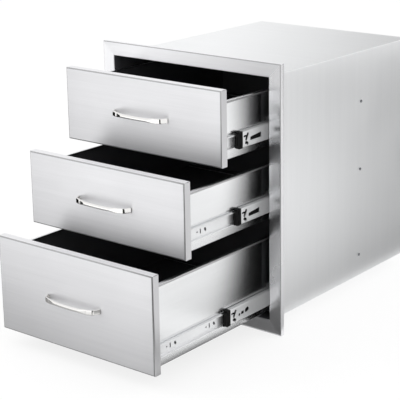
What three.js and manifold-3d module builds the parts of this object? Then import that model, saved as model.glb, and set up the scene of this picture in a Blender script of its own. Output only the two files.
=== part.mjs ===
// Outdoor kitchen drawer unit: a built-in steel cabinet with a face frame and three open drawers.
// Millimetres. +X to the right, +Y from the face into the cabinet, +Z up.
// The origin is on the cabinet's underside, at its middle, in the plane the face frame seats on.
import * as THREE from "three";
import { mergeVertices } from "three/addons/utils/BufferGeometryUtils.js";
import Module from "manifold-3d";

const wasm = await Module();
wasm.setup();

// Face frame
const frameWidth = 480;
const frameHeight = 580;
const frameBorder = 30;
const frameSheet = 1;
const frameReturn = 12.5;
const frameHem = 6.5;
const frameLip = 20;
const frameBend = 2;
const hemCornerRelief = 4;

// Cabinet body
const bodyDepth = 545;
const wallSheet = 1;
const wrapBend = 1.3;
const floorFlange = 12;
const floorBend = 1.5;
const backFlange = 12;
const backBend = 1.8;

// Drawer fronts
const frontWidth = 415;
const frontDepth = 17;
const frontSheet = 1;
const frontBend = 2.5;
const tallFront = 202;
const gapUnderBottom = 3;
const gapBetween = 2;
const gapOverTop = 1;
const frontSeam = 0.6;
const linerSheet = 1;
const linerFlange = 8;
const linerSetback = 0.2;
const linerBend = 1.8;

// Drawer trays
const trayLength = 500;
const traySheet = 1;
const trayDropFromTop = 27;
const trayRiseFromBottom = 10;
const trayFlange = 9;
const trayFlangeBend = 3.5;
const trayFloorBend = 1.5;
const traySeam = 0.4;
const trayBackFoot = 20;
const trayBackDrop = 10;

// Handles
const handleSpan = 142.4;
const handleRise = 22;
const handleMiddleHeight = 8.3;
const handleEndHeight = 10.3;
const handleMiddleThick = 6.5;
const handleEndThick = 3;
const handleRun = 3;
const handleStudRadius = 2;
const handleStudInset = 3;
const handleStudBack = 7;
const handlePlanShares = [
  new THREE.Vector2(0.99, 0.07),
  new THREE.Vector2(0.92, 0.41),
  new THREE.Vector2(0.82, 0.62),
  new THREE.Vector2(0.68, 0.82),
  new THREE.Vector2(0.48, 0.91),
  new THREE.Vector2(0.25, 0.98),
  new THREE.Vector2(0, 1),
];
const handleBladeShare = 0.82;
const handleOvalShare = 0.62;
const handleSquareShare = 0.7;

// Slides, measured from the cabinet wall inward
const railThickness = 12.7;
const railHeightOverFront = 45;
const outerRailLength = 500;
const outerRailSetback = 22;
const outerRailSheet = 1.2;
const outerRailHeight = 45.6;
const outerRailReach = 10.4;
const outerRailBend = 2.6;
const outerLipRun = 0.9;
const outerLipDrop = 1.4;
const outerLipBend = 0.9;
const middleRailLength = 479;
const middleRailSetback = 43;
const middleRailSheet = 1.6;
const middleRailStart = 2.4;
const middleRailHeight = 34.4;
const middleRailReach = 11;
const middleRailBend = 2.3;
const innerRailLength = 500;
const innerRailSetback = 19;
const innerRailSheet = 1.2;
const innerRailHeight = 25.8;
const innerRailReach = 7.7;
const innerRailBend = 1.6;
const railFoldSteps = 2;

// Balls and cages
const raceOffset = 7;
const outerBallRadius = 2.5;
const outerBallPlay = 0.25;
const innerBallRadius = 1.65;
const innerBallPlay = 0.15;
const outerCageStart = 1.55;
const outerCageSheet = 0.5;
const outerCageReach = 9.5;
const outerCageSetback = 150;
const outerCageLength = 240;
const innerCageStart = 4.3;
const innerCageSheet = 0.4;
const innerCageReach = 9.5;
const innerCageSetback = 175;
const innerCageLength = 210;
const cageBend = 0.7;
const cageEnd = 16;
const ballsPerRow = 3;

// Openings punched in the inner rail's web, from the rail's front end
const innerHoleRadius = 1.9;
const innerHoleAt = 26;
const innerSlotRadius = 1.6;
const innerSlotAt = 36;
const innerSlotHalf = 3.6;
const innerSlantRadius = 2.6;
const innerSlantAt = 51;
const innerSlantRun = 2.5;
const innerSlantRise = 3;
const innerGroupPitch = 119.5;
const innerGroups = 4;

// Openings punched in the middle rail's web, from the rail's front end
const catchRadius = 2.3;
const catchStartAt = 10.5;
const catchEndAt = 16.5;
const catchTop = 9.5;
const catchLow = -1;
const catchArmRadius = 1.1;
const catchArmAt = 4;
const catchArmRise = 6;
const catchNotchRadius = 2.6;
const catchNotchStartAt = 10.5;
const catchNotchEndAt = 15.5;
const catchNotchTop = -7.8;
const catchNotchLow = -11.2;
const leverStartAt = 25;
const leverEndAt = 61;
const leverFloor = -4.8;
const leverFrontTop = 0.6;
const leverRearTop = 3.6;
const leverCorner = 1.5;

// Bumper blocks on the middle rails
const bumperLength = 22;
const bumperCorner = 3;
const bumperWeb = 2.2;
const bumperWall = 3.9;
const bumperTongueLength = 5;
const bumperTongueThick = 1.9;
const bumperTongueStart = 6;

// Side rivets
const rivetRadius = 2;
const rivetHeadRadius = 3.6;
const rivetHeadHeight = 1.5;
const rivetHeadRim = 0.4;
const rivetSetback = 345;
const rivetTipGap = 0.2;
const rivetSides = 8;
const handleSides = 10;

// Clearances and shared values
const seatGap = 0.3;
const holePlay = 0.3;
const overrun = 5;
const foldSteps = 3;
const roundSides = 8;
const punchSides = 6;
const raceSides = 12;

// How far each middle rail stands out of the cabinet, and each drawer out of its middle rails
const topRailOut = 127;
const topDrawerOut = 23;
const middleRailOut = 134.5;
const middleDrawerOut = 130.5;
const bottomRailOut = 173;
const bottomDrawerOut = 189;

// Values that follow from the ones above
const openingHalf = frameWidth / 2 - frameBorder;
const openingHeight = frameHeight - 2 * frameBorder;
const wallInside = openingHalf + frameSheet + seatGap;
const wallOutside = wallInside + wallSheet;
const fixedFronts = tallFront + gapUnderBottom + 2 * gapBetween + gapOverTop;
const lowFront = (openingHeight - fixedFronts) / 2;
const openingLow = wallSheet + seatGap + frameSheet;
const openingHigh = openingLow + openingHeight;
const ceilingInside = openingHigh + frameSheet + seatGap;
const faceY = -frameReturn;
const bodyRear = faceY + bodyDepth;
const lipRear = faceY + frameLip;
const railSeat = wallInside - seatGap;
const trayHalf = railSeat - railThickness - seatGap;
const outerFace = outerRailHeight / 2 - outerRailSheet;
const middleFace = middleRailHeight / 2;
const middleInside = middleFace - middleRailSheet;
const innerFace = innerRailHeight / 2;
const outerBallHeight = (outerFace + middleFace) / 2;
const innerBallHeight = (middleInside + innerFace) / 2;

const finishes = {
  frame: new THREE.MeshStandardMaterial({ color: 0xcfcfd1, roughness: 0.32, metalness: 1 }),
  body: new THREE.MeshStandardMaterial({ color: 0xc8cacc, roughness: 0.4, metalness: 1 }),
  front: new THREE.MeshStandardMaterial({ color: 0xd2d3d5, roughness: 0.28, metalness: 1 }),
  liner: new THREE.MeshStandardMaterial({ color: 0xb4b6b9, roughness: 0.4, metalness: 1 }),
  tray: new THREE.MeshStandardMaterial({ color: 0xc4c6c9, roughness: 0.34, metalness: 1 }),
  handle: new THREE.MeshStandardMaterial({ color: 0xe2e3e5, roughness: 0.1, metalness: 1 }),
  rail: new THREE.MeshStandardMaterial({ color: 0xb9bcc0, roughness: 0.36, metalness: 1 }),
  cage: new THREE.MeshStandardMaterial({ color: 0x9fa2a6, roughness: 0.45, metalness: 1 }),
  bumper: new THREE.MeshStandardMaterial({ color: 0x161618, roughness: 0.55, metalness: 0 }),
  rivet: new THREE.MeshStandardMaterial({ color: 0x8f9194, roughness: 0.4, metalness: 1 }),
};

// Closed geometry to a solid that can be joined and cut, turned to face out
function toSolid(geometry) {
  geometry.deleteAttribute("normal");
  geometry.deleteAttribute("uv");
  const merged = mergeVertices(geometry);
  const corners = new Uint32Array(merged.index.array);
  const points = merged.getAttribute("position").array;
  const make = () => new wasm.Manifold(
    new wasm.Mesh({ numProp: 3, vertProperties: points, triVerts: corners }),
  );
  const solid = make();
  if (solid.volume() > 0) return solid;
  for (let i = 0; i < corners.length; i += 3) {
    const kept = corners[i + 1];
    corners[i + 1] = corners[i + 2];
    corners[i + 2] = kept;
  }
  return make();
}

function toMesh(name, solid, finish) {
  const mesh = solid.getMesh();
  const geometry = new THREE.BufferGeometry();
  geometry.setAttribute("position", new THREE.BufferAttribute(mesh.vertProperties, 3));
  geometry.setIndex(new THREE.BufferAttribute(mesh.triVerts, 1));
  geometry.computeVertexNormals();
  const part = new THREE.Mesh(geometry, finish);
  part.name = name;
  return part;
}

// Outline drawn in X and Z, run along Y from start to end
function alongY(outline, start, end) {
  const run = new THREE.ExtrudeGeometry(new THREE.Shape(outline), {
    depth: end - start,
    bevelEnabled: false,
  });
  run.rotateX(Math.PI / 2);
  run.translate(0, end, 0);
  return toSolid(run);
}

// Outline drawn in Y and Z, run along X from start to end
function alongX(outline, start, end) {
  const run = new THREE.ExtrudeGeometry(new THREE.Shape(outline), {
    depth: end - start,
    bevelEnabled: false,
  });
  const turn = new THREE.Matrix4().makeBasis(
    new THREE.Vector3(0, 1, 0),
    new THREE.Vector3(0, 0, 1),
    new THREE.Vector3(1, 0, 0),
  );
  run.applyMatrix4(turn);
  run.translate(start, 0, 0);
  return toSolid(run);
}

function block(x0, x1, y0, y1, z0, z1) {
  const box = new THREE.BoxGeometry(x1 - x0, y1 - y0, z1 - z0);
  box.translate((x0 + x1) / 2, (y0 + y1) / 2, (z0 + z1) / 2);
  return toSolid(box);
}

function rodAlongX(radius, x0, x1, y, z) {
  const rod = new THREE.CylinderGeometry(radius, radius, x1 - x0, roundSides);
  rod.rotateZ(Math.PI / 2);
  rod.translate((x0 + x1) / 2, y, z);
  return toSolid(rod);
}

function rodAlongY(radius, sides, x, y0, y1, z) {
  const rod = new THREE.CylinderGeometry(radius, radius, y1 - y0, sides);
  rod.translate(x, (y0 + y1) / 2, z);
  return toSolid(rod);
}

// Points along the middle of a bent sheet, each with the sheet's sideways direction there.
// radii holds the middle radius of each fold in turn.
function foldedPath(corners, radii, steps) {
  const stations = [];
  const ways = corners.slice(1).map((p, i) => p.clone().sub(corners[i]).normalize());
  const sideways = (way) => new THREE.Vector2(-way.y, way.x);
  stations.push({ point: corners[0], side: sideways(ways[0]) });
  for (let i = 1; i < corners.length - 1; i++) {
    const before = ways[i - 1];
    const after = ways[i];
    const turn = Math.atan2(before.cross(after), before.dot(after));
    const radius = radii[i - 1];
    const start = corners[i].clone().addScaledVector(before, -radius * Math.tan(Math.abs(turn) / 2));
    const hub = start.clone().addScaledVector(sideways(before), Math.sign(turn) * radius);
    for (let k = 0; k <= steps; k++) {
      const side = sideways(before).rotateAround(new THREE.Vector2(), (turn * k) / steps);
      const point = hub.clone().addScaledVector(side, -Math.sign(turn) * radius);
      stations.push({ point, side });
    }
  }
  stations.push({ point: corners[corners.length - 1], side: sideways(ways[ways.length - 1]) });
  return stations;
}

// Outline of a bent sheet of even thickness
function sheetOutline(corners, radii, sheet, steps = foldSteps) {
  const stations = foldedPath(corners, radii, steps);
  const one = stations.map((s) => s.point.clone().addScaledVector(s.side, sheet / 2));
  const other = stations.map((s) => s.point.clone().addScaledVector(s.side, -sheet / 2));
  return one.concat(other.reverse());
}

// Long hole with round ends
function slotOutline(from, to, radius) {
  const way = Math.atan2(to.y - from.y, to.x - from.x);
  const half = punchSides / 2;
  const outline = [];
  for (const [end, start] of [[to, way - Math.PI / 2], [from, way + Math.PI / 2]]) {
    for (let k = 0; k <= half; k++) {
      const angle = start + (Math.PI * k) / half;
      const point = new THREE.Vector2(Math.cos(angle), Math.sin(angle));
      outline.push(point.multiplyScalar(radius).add(end));
    }
  }
  return outline;
}

// Rings of points joined one to the next, closed round on themselves or capped at both ends
function skin(rings, closed) {
  const count = rings[0].length;
  const points = rings.flat();
  const corners = [];
  const links = closed ? rings.length : rings.length - 1;
  for (let r = 0; r < links; r++) {
    const next = (r + 1) % rings.length;
    for (let i = 0; i < count; i++) {
      const j = (i + 1) % count;
      corners.push(r * count + i, r * count + j, next * count + j);
      corners.push(r * count + i, next * count + j, next * count + i);
    }
  }
  if (!closed) {
    const last = (rings.length - 1) * count;
    for (let i = 1; i < count - 1; i++) {
      corners.push(0, i + 1, i);
      corners.push(last, last + i, last + i + 1);
    }
  }
  const geometry = new THREE.BufferGeometry().setFromPoints(points);
  geometry.setIndex(corners);
  return toSolid(geometry);
}

// Rectangle upright in X and Z at depth y, from its half width and its lower and upper edges
function uprightRing(half, low, high, y) {
  return [
    new THREE.Vector3(-half, y, low),
    new THREE.Vector3(half, y, low),
    new THREE.Vector3(half, y, high),
    new THREE.Vector3(-half, y, high),
  ];
}

// Folded pan: a plate with all four edges bent to one side, depth measured from the plate's face
function panSolid(half, low, high, face, depth, sheet, bend) {
  const sign = Math.sign(depth);
  const reach = Math.abs(depth);
  const corners = [
    new THREE.Vector2(sheet / 2, reach),
    new THREE.Vector2(sheet / 2, sheet / 2),
    new THREE.Vector2(sheet / 2 + 2 * bend, sheet / 2),
  ];
  const stations = foldedPath(corners, [bend], foldSteps);
  const rings = [];
  const ring = (station, offset) => {
    const p = station.point.clone().addScaledVector(station.side, offset);
    return uprightRing(half - p.x, low + p.x, high - p.x, face + sign * p.y);
  };
  for (const station of stations.slice(0, -1).reverse()) rings.push(ring(station, -sheet / 2));
  for (const station of stations.slice(0, -1)) rings.push(ring(station, sheet / 2));
  return skin(rings, false);
}

function faceFrame() {
  const middle = frameSheet / 2;
  const corners = [
    new THREE.Vector2(-middle + frameSheet, lipRear),
    new THREE.Vector2(middle, faceY + middle),
    new THREE.Vector2(frameBorder - middle, faceY + middle),
    new THREE.Vector2(frameBorder - middle, -middle),
    new THREE.Vector2(frameBorder - frameHem, -middle),
  ];
  const outline = sheetOutline(corners, [frameBend, frameBend, frameBend / 2], frameSheet);
  const rings = outline.map((p) =>
    uprightRing(openingHalf + p.x, openingLow - p.x, openingHigh + p.x, p.y),
  );
  let frame = skin(rings, true);
  const hemInner = frameBorder - frameHem - overrun;
  const relief = frameBorder - frameSheet - hemCornerRelief;
  for (const side of [-1, 1]) {
    for (const [edge, up] of [[openingLow, -1], [openingHigh, 1]]) {
      const x = [side * (openingHalf + hemInner), side * (openingHalf + relief + hemCornerRelief)];
      const z = [edge + up * hemInner, edge + up * (relief + hemCornerRelief)];
      frame = frame.subtract(
        block(Math.min(...x), Math.max(...x), -frameSheet * 2, frameSheet, Math.min(...z), Math.max(...z)),
      );
    }
  }
  return frame;
}

function cabinetWrap(rivetHeights) {
  const middle = wallSheet / 2;
  const corners = [
    new THREE.Vector2(-wallOutside + middle, 0),
    new THREE.Vector2(-wallOutside + middle, ceilingInside + middle),
    new THREE.Vector2(wallOutside - middle, ceilingInside + middle),
    new THREE.Vector2(wallOutside - middle, 0),
  ];
  let wrap = alongY(sheetOutline(corners, [wrapBend, wrapBend], wallSheet), 0, bodyRear);
  const reach = wallOutside + overrun;
  for (const z of rivetHeights) {
    const hole = rodAlongX(rivetRadius + holePlay, -reach, reach, faceY + rivetSetback, z);
    wrap = wrap.subtract(hole);
  }
  return wrap;
}

function cabinetFloor() {
  const middle = wallSheet / 2;
  const half = railSeat - middle;
  const corners = [
    new THREE.Vector2(-half, floorFlange),
    new THREE.Vector2(-half, middle),
    new THREE.Vector2(half, middle),
    new THREE.Vector2(half, floorFlange),
  ];
  const floor = alongY(sheetOutline(corners, [floorBend, floorBend], wallSheet), 0, bodyRear);
  const upper = floorFlange + overrun;
  const lipEnd = lipRear + seatGap;
  const backStart = bodyRear - backFlange - seatGap;
  const front = block(-wallOutside, wallOutside, -overrun, lipEnd, wallSheet, upper);
  const rear = block(-wallOutside, wallOutside, backStart, bodyRear + overrun, wallSheet, upper);
  return floor.subtract(front).subtract(rear);
}

function cabinetBack() {
  return panSolid(
    railSeat,
    wallSheet + seatGap,
    ceilingInside - seatGap,
    bodyRear,
    -backFlange,
    wallSheet,
    backBend,
  );
}

// Drawer front, its lower edge at height 0 and its face at depth 0
function frontPanel(height) {
  let pan = panSolid(frontWidth / 2, 0, height, 0, frontDepth, frontSheet, frontBend);
  for (const side of [-1, 1]) {
    for (const z of [0, height]) {
      const slit = new THREE.BoxGeometry(frontSeam, frontDepth, frontSheet * 4);
      slit.rotateY((z ? 1 : -1) * side * (Math.PI / 4));
      slit.translate((side * frontWidth) / 2, frontDepth / 2 + frontBend + frontSheet, z);
      pan = pan.subtract(toSolid(slit));
    }
    const hole = rodAlongY(
      handleStudRadius + holePlay,
      roundSides,
      side * (handleSpan / 2 - handleStudInset),
      -overrun,
      overrun,
      height / 2,
    );
    pan = pan.subtract(hole);
  }
  return pan;
}

function frontLiner(height) {
  const inset = frontSheet + seatGap;
  return panSolid(
    frontWidth / 2 - inset,
    inset,
    height - inset,
    frontDepth - linerSetback,
    -linerFlange,
    linerSheet,
    linerBend,
  );
}

function drawerTray(height) {
  const middle = traySheet / 2;
  const side = trayHalf - middle;
  const floor = trayRiseFromBottom + middle;
  const top = height - trayDropFromTop - middle;
  const front = frontDepth - linerSetback + seatGap;
  const rear = front + trayLength;
  const corners = [
    new THREE.Vector2(-trayHalf + trayFlange, top),
    new THREE.Vector2(-side, top),
    new THREE.Vector2(-side, floor),
    new THREE.Vector2(side, floor),
    new THREE.Vector2(side, top),
    new THREE.Vector2(trayHalf - trayFlange, top),
  ];
  const bends = [trayFlangeBend, trayFloorBend, trayFloorBend, trayFlangeBend];
  const trough = alongY(sheetOutline(corners, bends, traySheet), front, rear);
  const upright = [
    new THREE.Vector2(rear - trayBackFoot, floor),
    new THREE.Vector2(rear - middle, floor),
    new THREE.Vector2(rear - middle, top + middle - trayBackDrop),
  ];
  const backHalf = trayHalf - traySheet - traySeam;
  const back = alongX(sheetOutline(upright, [trayFloorBend], traySheet), -backHalf, backHalf);
  return trough.add(back);
}

// Bow handle, its middle at height 0, standing off the face at depth 0 toward -Y
function bowHandle() {
  const half = handleSpan / 2;
  const plan = handlePlanShares.map(
    (share) => new THREE.Vector3(share.x * half, -share.y * handleRise, 0),
  );
  const run = new THREE.Vector3(plan[0].x + handleRun, handleRun, 0);
  const left = [run, ...plan].map((p) => new THREE.Vector3(-p.x, p.y, 0));
  const right = [run, ...plan].reverse().slice(1);
  const path = left.concat(right);
  const rings = path.map((p, i) => {
    const way = path[Math.min(i + 1, path.length - 1)].clone().sub(path[Math.max(i - 1, 0)]).normalize();
    const along = Math.abs(p.x) / half;
    const blade = THREE.MathUtils.smoothstep(along, handleOvalShare, handleBladeShare);
    const tall = THREE.MathUtils.lerp(handleMiddleHeight, handleEndHeight, blade) / 2;
    const thick = THREE.MathUtils.lerp(handleMiddleThick, handleEndThick, blade) / 2;
    return ovalRing(p, new THREE.Vector3(-way.y, way.x, 0), tall, thick);
  });
  let bar = skin(rings, false);
  bar = bar.subtract(block(-frameWidth, frameWidth, -seatGap, frameBorder, -frameBorder, frameBorder));
  for (const side of [-1, 1]) {
    const x = side * (half - handleStudInset);
    bar = bar.add(rodAlongY(handleStudRadius, roundSides, x, -handleEndThick, handleStudBack, 0));
  }
  return bar;
}

function ovalRing(centre, across, tall, thick) {
  const ring = [];
  for (let k = 0; k < handleSides; k++) {
    const angle = (2 * Math.PI * k) / handleSides;
    const side = Math.sign(Math.cos(angle)) * Math.abs(Math.cos(angle)) ** handleSquareShare;
    const rise = Math.sign(Math.sin(angle)) * Math.abs(Math.sin(angle)) ** handleSquareShare;
    const point = centre.clone().addScaledVector(across, side * thick);
    ring.push(point.add(new THREE.Vector3(0, 0, rise * tall)));
  }
  return ring;
}

// Long groove for one row of balls
function ballRace(radius, play, height, length) {
  return rodAlongY(radius + play, raceSides, raceOffset, -overrun, length + overrun, height);
}

// Outer rail: a channel open toward the drawer, with a groove and a turned-in lip along each leg
function outerRail() {
  const web = outerRailSheet / 2;
  const leg = outerRailHeight / 2 - web;
  const fold = outerRailReach - outerLipRun;
  const corners = [
    new THREE.Vector2(outerRailReach, leg - outerLipDrop),
    new THREE.Vector2(fold, leg),
    new THREE.Vector2(web, leg),
    new THREE.Vector2(web, -leg),
    new THREE.Vector2(fold, -leg),
    new THREE.Vector2(outerRailReach, outerLipDrop - leg),
  ];
  const bends = [outerLipBend, outerRailBend, outerRailBend, outerLipBend];
  const outline = sheetOutline(corners, bends, outerRailSheet, railFoldSteps);
  let rail = alongY(outline, 0, outerRailLength);
  for (const side of [-1, 1]) {
    rail = rail.subtract(ballRace(outerBallRadius, outerBallPlay, side * outerBallHeight, outerRailLength));
  }
  const hole = rodAlongX(
    rivetRadius + holePlay,
    -overrun,
    outerRailSheet + overrun,
    rivetSetback - outerRailSetback,
    0,
  );
  return rail.subtract(hole);
}

// Middle rail: a channel with a groove for the outer balls outside each leg and one for the inner
// balls inside it, and the punched openings of its catch near the front end
function middleRail() {
  const web = middleRailStart + middleRailSheet / 2;
  const leg = middleFace - middleRailSheet / 2;
  const corners = [
    new THREE.Vector2(middleRailReach, leg),
    new THREE.Vector2(web, leg),
    new THREE.Vector2(web, -leg),
    new THREE.Vector2(middleRailReach, -leg),
  ];
  const outline = sheetOutline(corners, [middleRailBend, middleRailBend], middleRailSheet, railFoldSteps);
  let rail = alongY(outline, 0, middleRailLength);
  for (const side of [-1, 1]) {
    const outer = side * outerBallHeight;
    const inner = side * innerBallHeight;
    rail = rail.subtract(ballRace(outerBallRadius, outerBallPlay, outer, middleRailLength));
    rail = rail.subtract(ballRace(innerBallRadius, innerBallPlay, inner, middleRailLength));
  }
  for (const outline of catchOutlines()) {
    const x = middleRailStart - middleRailSheet;
    rail = rail.subtract(alongX(outline, x, x + 3 * middleRailSheet));
  }
  return rail;
}

function catchOutlines() {
  const at = (y, z) => new THREE.Vector2(y, z);
  return [
    slotOutline(at(catchStartAt, catchLow), at(catchEndAt, catchTop), catchRadius),
    slotOutline(at(catchArmAt, catchArmRise), at(catchStartAt, catchArmRise), catchArmRadius),
    slotOutline(at(catchNotchStartAt, catchNotchTop), at(catchNotchEndAt, catchNotchLow), catchNotchRadius),
    leverOutline(),
  ];
}

// Slot of the release lever: its lower edge is level and its upper edge rises to the rear
function leverOutline() {
  const middle = (leverStartAt + leverEndAt) / 2;
  const stations = foldedPath(
    [
      new THREE.Vector2(middle, leverFloor),
      new THREE.Vector2(leverEndAt, leverFloor),
      new THREE.Vector2(leverEndAt, leverRearTop),
      new THREE.Vector2(leverStartAt, leverFrontTop),
      new THREE.Vector2(leverStartAt, leverFloor),
      new THREE.Vector2(middle, leverFloor),
    ],
    [leverCorner, leverCorner, leverCorner, leverCorner],
    foldSteps,
  );
  return stations.slice(0, -1).map((s) => s.point);
}

// Inner rail: a channel open toward the cabinet, fixed to the tray, with a row of punched openings
function innerRail() {
  const web = railThickness - innerRailSheet / 2;
  const leg = innerFace - innerRailSheet / 2;
  const reach = railThickness - innerRailReach;
  const corners = [
    new THREE.Vector2(reach, leg),
    new THREE.Vector2(web, leg),
    new THREE.Vector2(web, -leg),
    new THREE.Vector2(reach, -leg),
  ];
  const outline = sheetOutline(corners, [innerRailBend, innerRailBend], innerRailSheet, railFoldSteps);
  let rail = alongY(outline, 0, innerRailLength);
  for (const side of [-1, 1]) {
    rail = rail.subtract(ballRace(innerBallRadius, innerBallPlay, side * innerBallHeight, innerRailLength));
  }
  const at = (y, z) => new THREE.Vector2(y, z);
  for (let group = 0; group < innerGroups; group++) {
    const shift = group * innerGroupPitch;
    const hole = at(shift + innerHoleAt, 0);
    const slot = shift + innerSlotAt;
    const slant = shift + innerSlantAt;
    const outlines = [
      slotOutline(hole, hole, innerHoleRadius),
      slotOutline(at(slot, -innerSlotHalf), at(slot, innerSlotHalf), innerSlotRadius),
      slotOutline(
        at(slant - innerSlantRun, innerSlantRise),
        at(slant + innerSlantRun, -innerSlantRise),
        innerSlantRadius,
      ),
    ];
    for (const cut of outlines) {
      rail = rail.subtract(alongX(cut, web - innerRailSheet, web + innerRailSheet));
    }
  }
  return rail;
}

// Ball cage: a thin channel with a row of balls held in each leg
function ballCage(start, reach, sheet, height, radius, length) {
  const web = start + sheet / 2;
  const corners = [
    new THREE.Vector2(reach, height),
    new THREE.Vector2(web, height),
    new THREE.Vector2(web, -height),
    new THREE.Vector2(reach, -height),
  ];
  let cage = alongY(sheetOutline(corners, [cageBend, cageBend], sheet, foldSteps - 1), 0, length);
  const pitch = (length - 2 * cageEnd) / (ballsPerRow - 1);
  for (const side of [-1, 1]) {
    for (let k = 0; k < ballsPerRow; k++) {
      const ball = new THREE.IcosahedronGeometry(radius, 0);
      ball.translate(raceOffset, cageEnd + k * pitch, side * height);
      cage = cage.add(toSolid(ball));
    }
  }
  return cage;
}

// Plastic block on a middle rail's front end, open toward the drawer so that the inner rail passes
function railBumper() {
  const tall = middleFace;
  const outline = foldedPath(
    [
      new THREE.Vector2(0, 0),
      new THREE.Vector2(0, tall),
      new THREE.Vector2(bumperLength, tall),
      new THREE.Vector2(bumperLength, -tall),
      new THREE.Vector2(0, -tall),
      new THREE.Vector2(0, 0),
    ],
    [bumperCorner, bumperCorner / 2, bumperCorner / 2, bumperCorner],
    foldSteps,
  );
  let bumper = alongX(outline.slice(0, -1).map((s) => s.point), middleRailStart, middleRailReach);
  const inside = tall - bumperWall;
  bumper = bumper.subtract(
    block(
      middleRailStart + bumperWeb,
      middleRailReach + overrun,
      -overrun,
      bumperLength + overrun,
      -inside,
      inside,
    ),
  );
  for (const side of [-1, 1]) {
    const z = [side * inside, side * (inside + bumperTongueThick)];
    bumper = bumper.add(
      block(
        bumperTongueStart,
        middleRailReach,
        bumperLength - bumperTongueLength,
        bumperLength + bumperTongueLength,
        Math.min(...z),
        Math.max(...z),
      ),
    );
  }
  return bumper;
}

// Rivet with a domed head, drawn from the wall's outside inward along X
function sideRivet() {
  const tip = wallOutside - railSeat + outerRailSheet - rivetTipGap;
  const profile = [
    new THREE.Vector2(0, -seatGap - rivetHeadHeight),
    new THREE.Vector2(rivetHeadRadius / 2, -seatGap - rivetHeadHeight + rivetHeadRim / 2),
    new THREE.Vector2(rivetHeadRadius, -seatGap - rivetHeadRim),
    new THREE.Vector2(rivetHeadRadius, -seatGap),
    new THREE.Vector2(rivetRadius, -seatGap),
    new THREE.Vector2(rivetRadius, tip),
    new THREE.Vector2(0, tip),
  ];
  const rivet = new THREE.LatheGeometry(profile, rivetSides);
  rivet.rotateZ(-Math.PI / 2);
  return toSolid(rivet);
}

// The same piece on the left and, mirrored, on the right, seated at equal distances from the middle
function addPair(parent, name, solid, finish, seat, y, z) {
  for (const [label, side] of [["left", -1], ["right", 1]]) {
    const mesh = toMesh(`${name}_${label}`, solid, finish);
    mesh.position.set(side * seat, y, z);
    mesh.scale.x = -side;
    parent.add(mesh);
  }
}

function drawerGroup(name, height, fullWidthParts) {
  const group = new THREE.Group();
  group.add(toMesh(`${name}_front_panel`, frontPanel(height), finishes.front));
  group.add(toMesh(`${name}_front_liner`, frontLiner(height), finishes.liner));
  group.add(toMesh(`${name}_tray`, drawerTray(height), finishes.tray));
  const handle = toMesh(`${name}_handle`, fullWidthParts.handle, finishes.handle);
  handle.position.set(0, 0, height / 2);
  group.add(handle);
  const rail = fullWidthParts.inner;
  const level = railHeightOverFront;
  addPair(group, `${name}_inner_rail`, rail, finishes.rail, railSeat, innerRailSetback, level);
  return group;
}

const unit = new THREE.Group();
const shared = {
  handle: bowHandle(),
  inner: innerRail(),
  middle: middleRail(),
  outer: outerRail(),
  bumper: railBumper(),
  rivet: sideRivet(),
  outerCage: ballCage(
    outerCageStart,
    outerCageReach,
    outerCageSheet,
    outerBallHeight,
    outerBallRadius,
    outerCageLength,
  ),
  innerCage: ballCage(
    innerCageStart,
    innerCageReach,
    innerCageSheet,
    innerBallHeight,
    innerBallRadius,
    innerCageLength,
  ),
};

const bottomLow = openingLow + gapUnderBottom;
const middleLow = bottomLow + tallFront + gapBetween;
const topLow = middleLow + lowFront + gapBetween;
const drawers = [
  { name: "top", low: topLow, height: lowFront, railOut: topRailOut, drawerOut: topDrawerOut },
  { name: "middle", low: middleLow, height: lowFront, railOut: middleRailOut, drawerOut: middleDrawerOut },
  { name: "bottom", low: bottomLow, height: tallFront, railOut: bottomRailOut, drawerOut: bottomDrawerOut },
];

const cabinet = new THREE.Group();
cabinet.add(toMesh("face_frame", faceFrame(), finishes.frame));
const rivetHeights = drawers.map((drawer) => drawer.low + railHeightOverFront);
cabinet.add(toMesh("cabinet_wrap", cabinetWrap(rivetHeights), finishes.body));
cabinet.add(toMesh("cabinet_floor", cabinetFloor(), finishes.body));
cabinet.add(toMesh("cabinet_back", cabinetBack(), finishes.body));
unit.add(cabinet);

for (const { name, low, height, railOut, drawerOut } of drawers) {
  const level = low + railHeightOverFront;
  const rivetY = faceY + rivetSetback;
  const outerRailY = faceY + outerRailSetback;
  addPair(cabinet, `${name}_outer_rail`, shared.outer, finishes.rail, railSeat, outerRailY, level);
  addPair(cabinet, `${name}_side_rivet`, shared.rivet, finishes.rivet, wallOutside, rivetY, level);

  const outerCageY = faceY + outerCageSetback - railOut / 2;
  addPair(unit, `${name}_outer_cage`, shared.outerCage, finishes.cage, railSeat, outerCageY, level);

  const floating = new THREE.Group();
  floating.position.set(0, faceY - railOut, level);
  addPair(floating, `${name}_middle_rail`, shared.middle, finishes.rail, railSeat, middleRailSetback, 0);
  const bumperY = middleRailSetback - bumperLength - seatGap;
  addPair(floating, `${name}_rail_bumper`, shared.bumper, finishes.bumper, railSeat, bumperY, 0);
  unit.add(floating);

  const innerCageY = faceY + innerCageSetback - railOut - drawerOut / 2;
  addPair(unit, `${name}_inner_cage`, shared.innerCage, finishes.cage, railSeat, innerCageY, level);

  const drawer = drawerGroup(name, height, shared);
  drawer.position.set(0, faceY - railOut - drawerOut, low);
  unit.add(drawer);
}

export default unit;
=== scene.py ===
"""Outdoor kitchen drawer unit: folded sheet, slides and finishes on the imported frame.

Lengths are in metres, in the frame's own axes: X to the right, Y into the cabinet, Z up.
"""

import math

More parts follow.
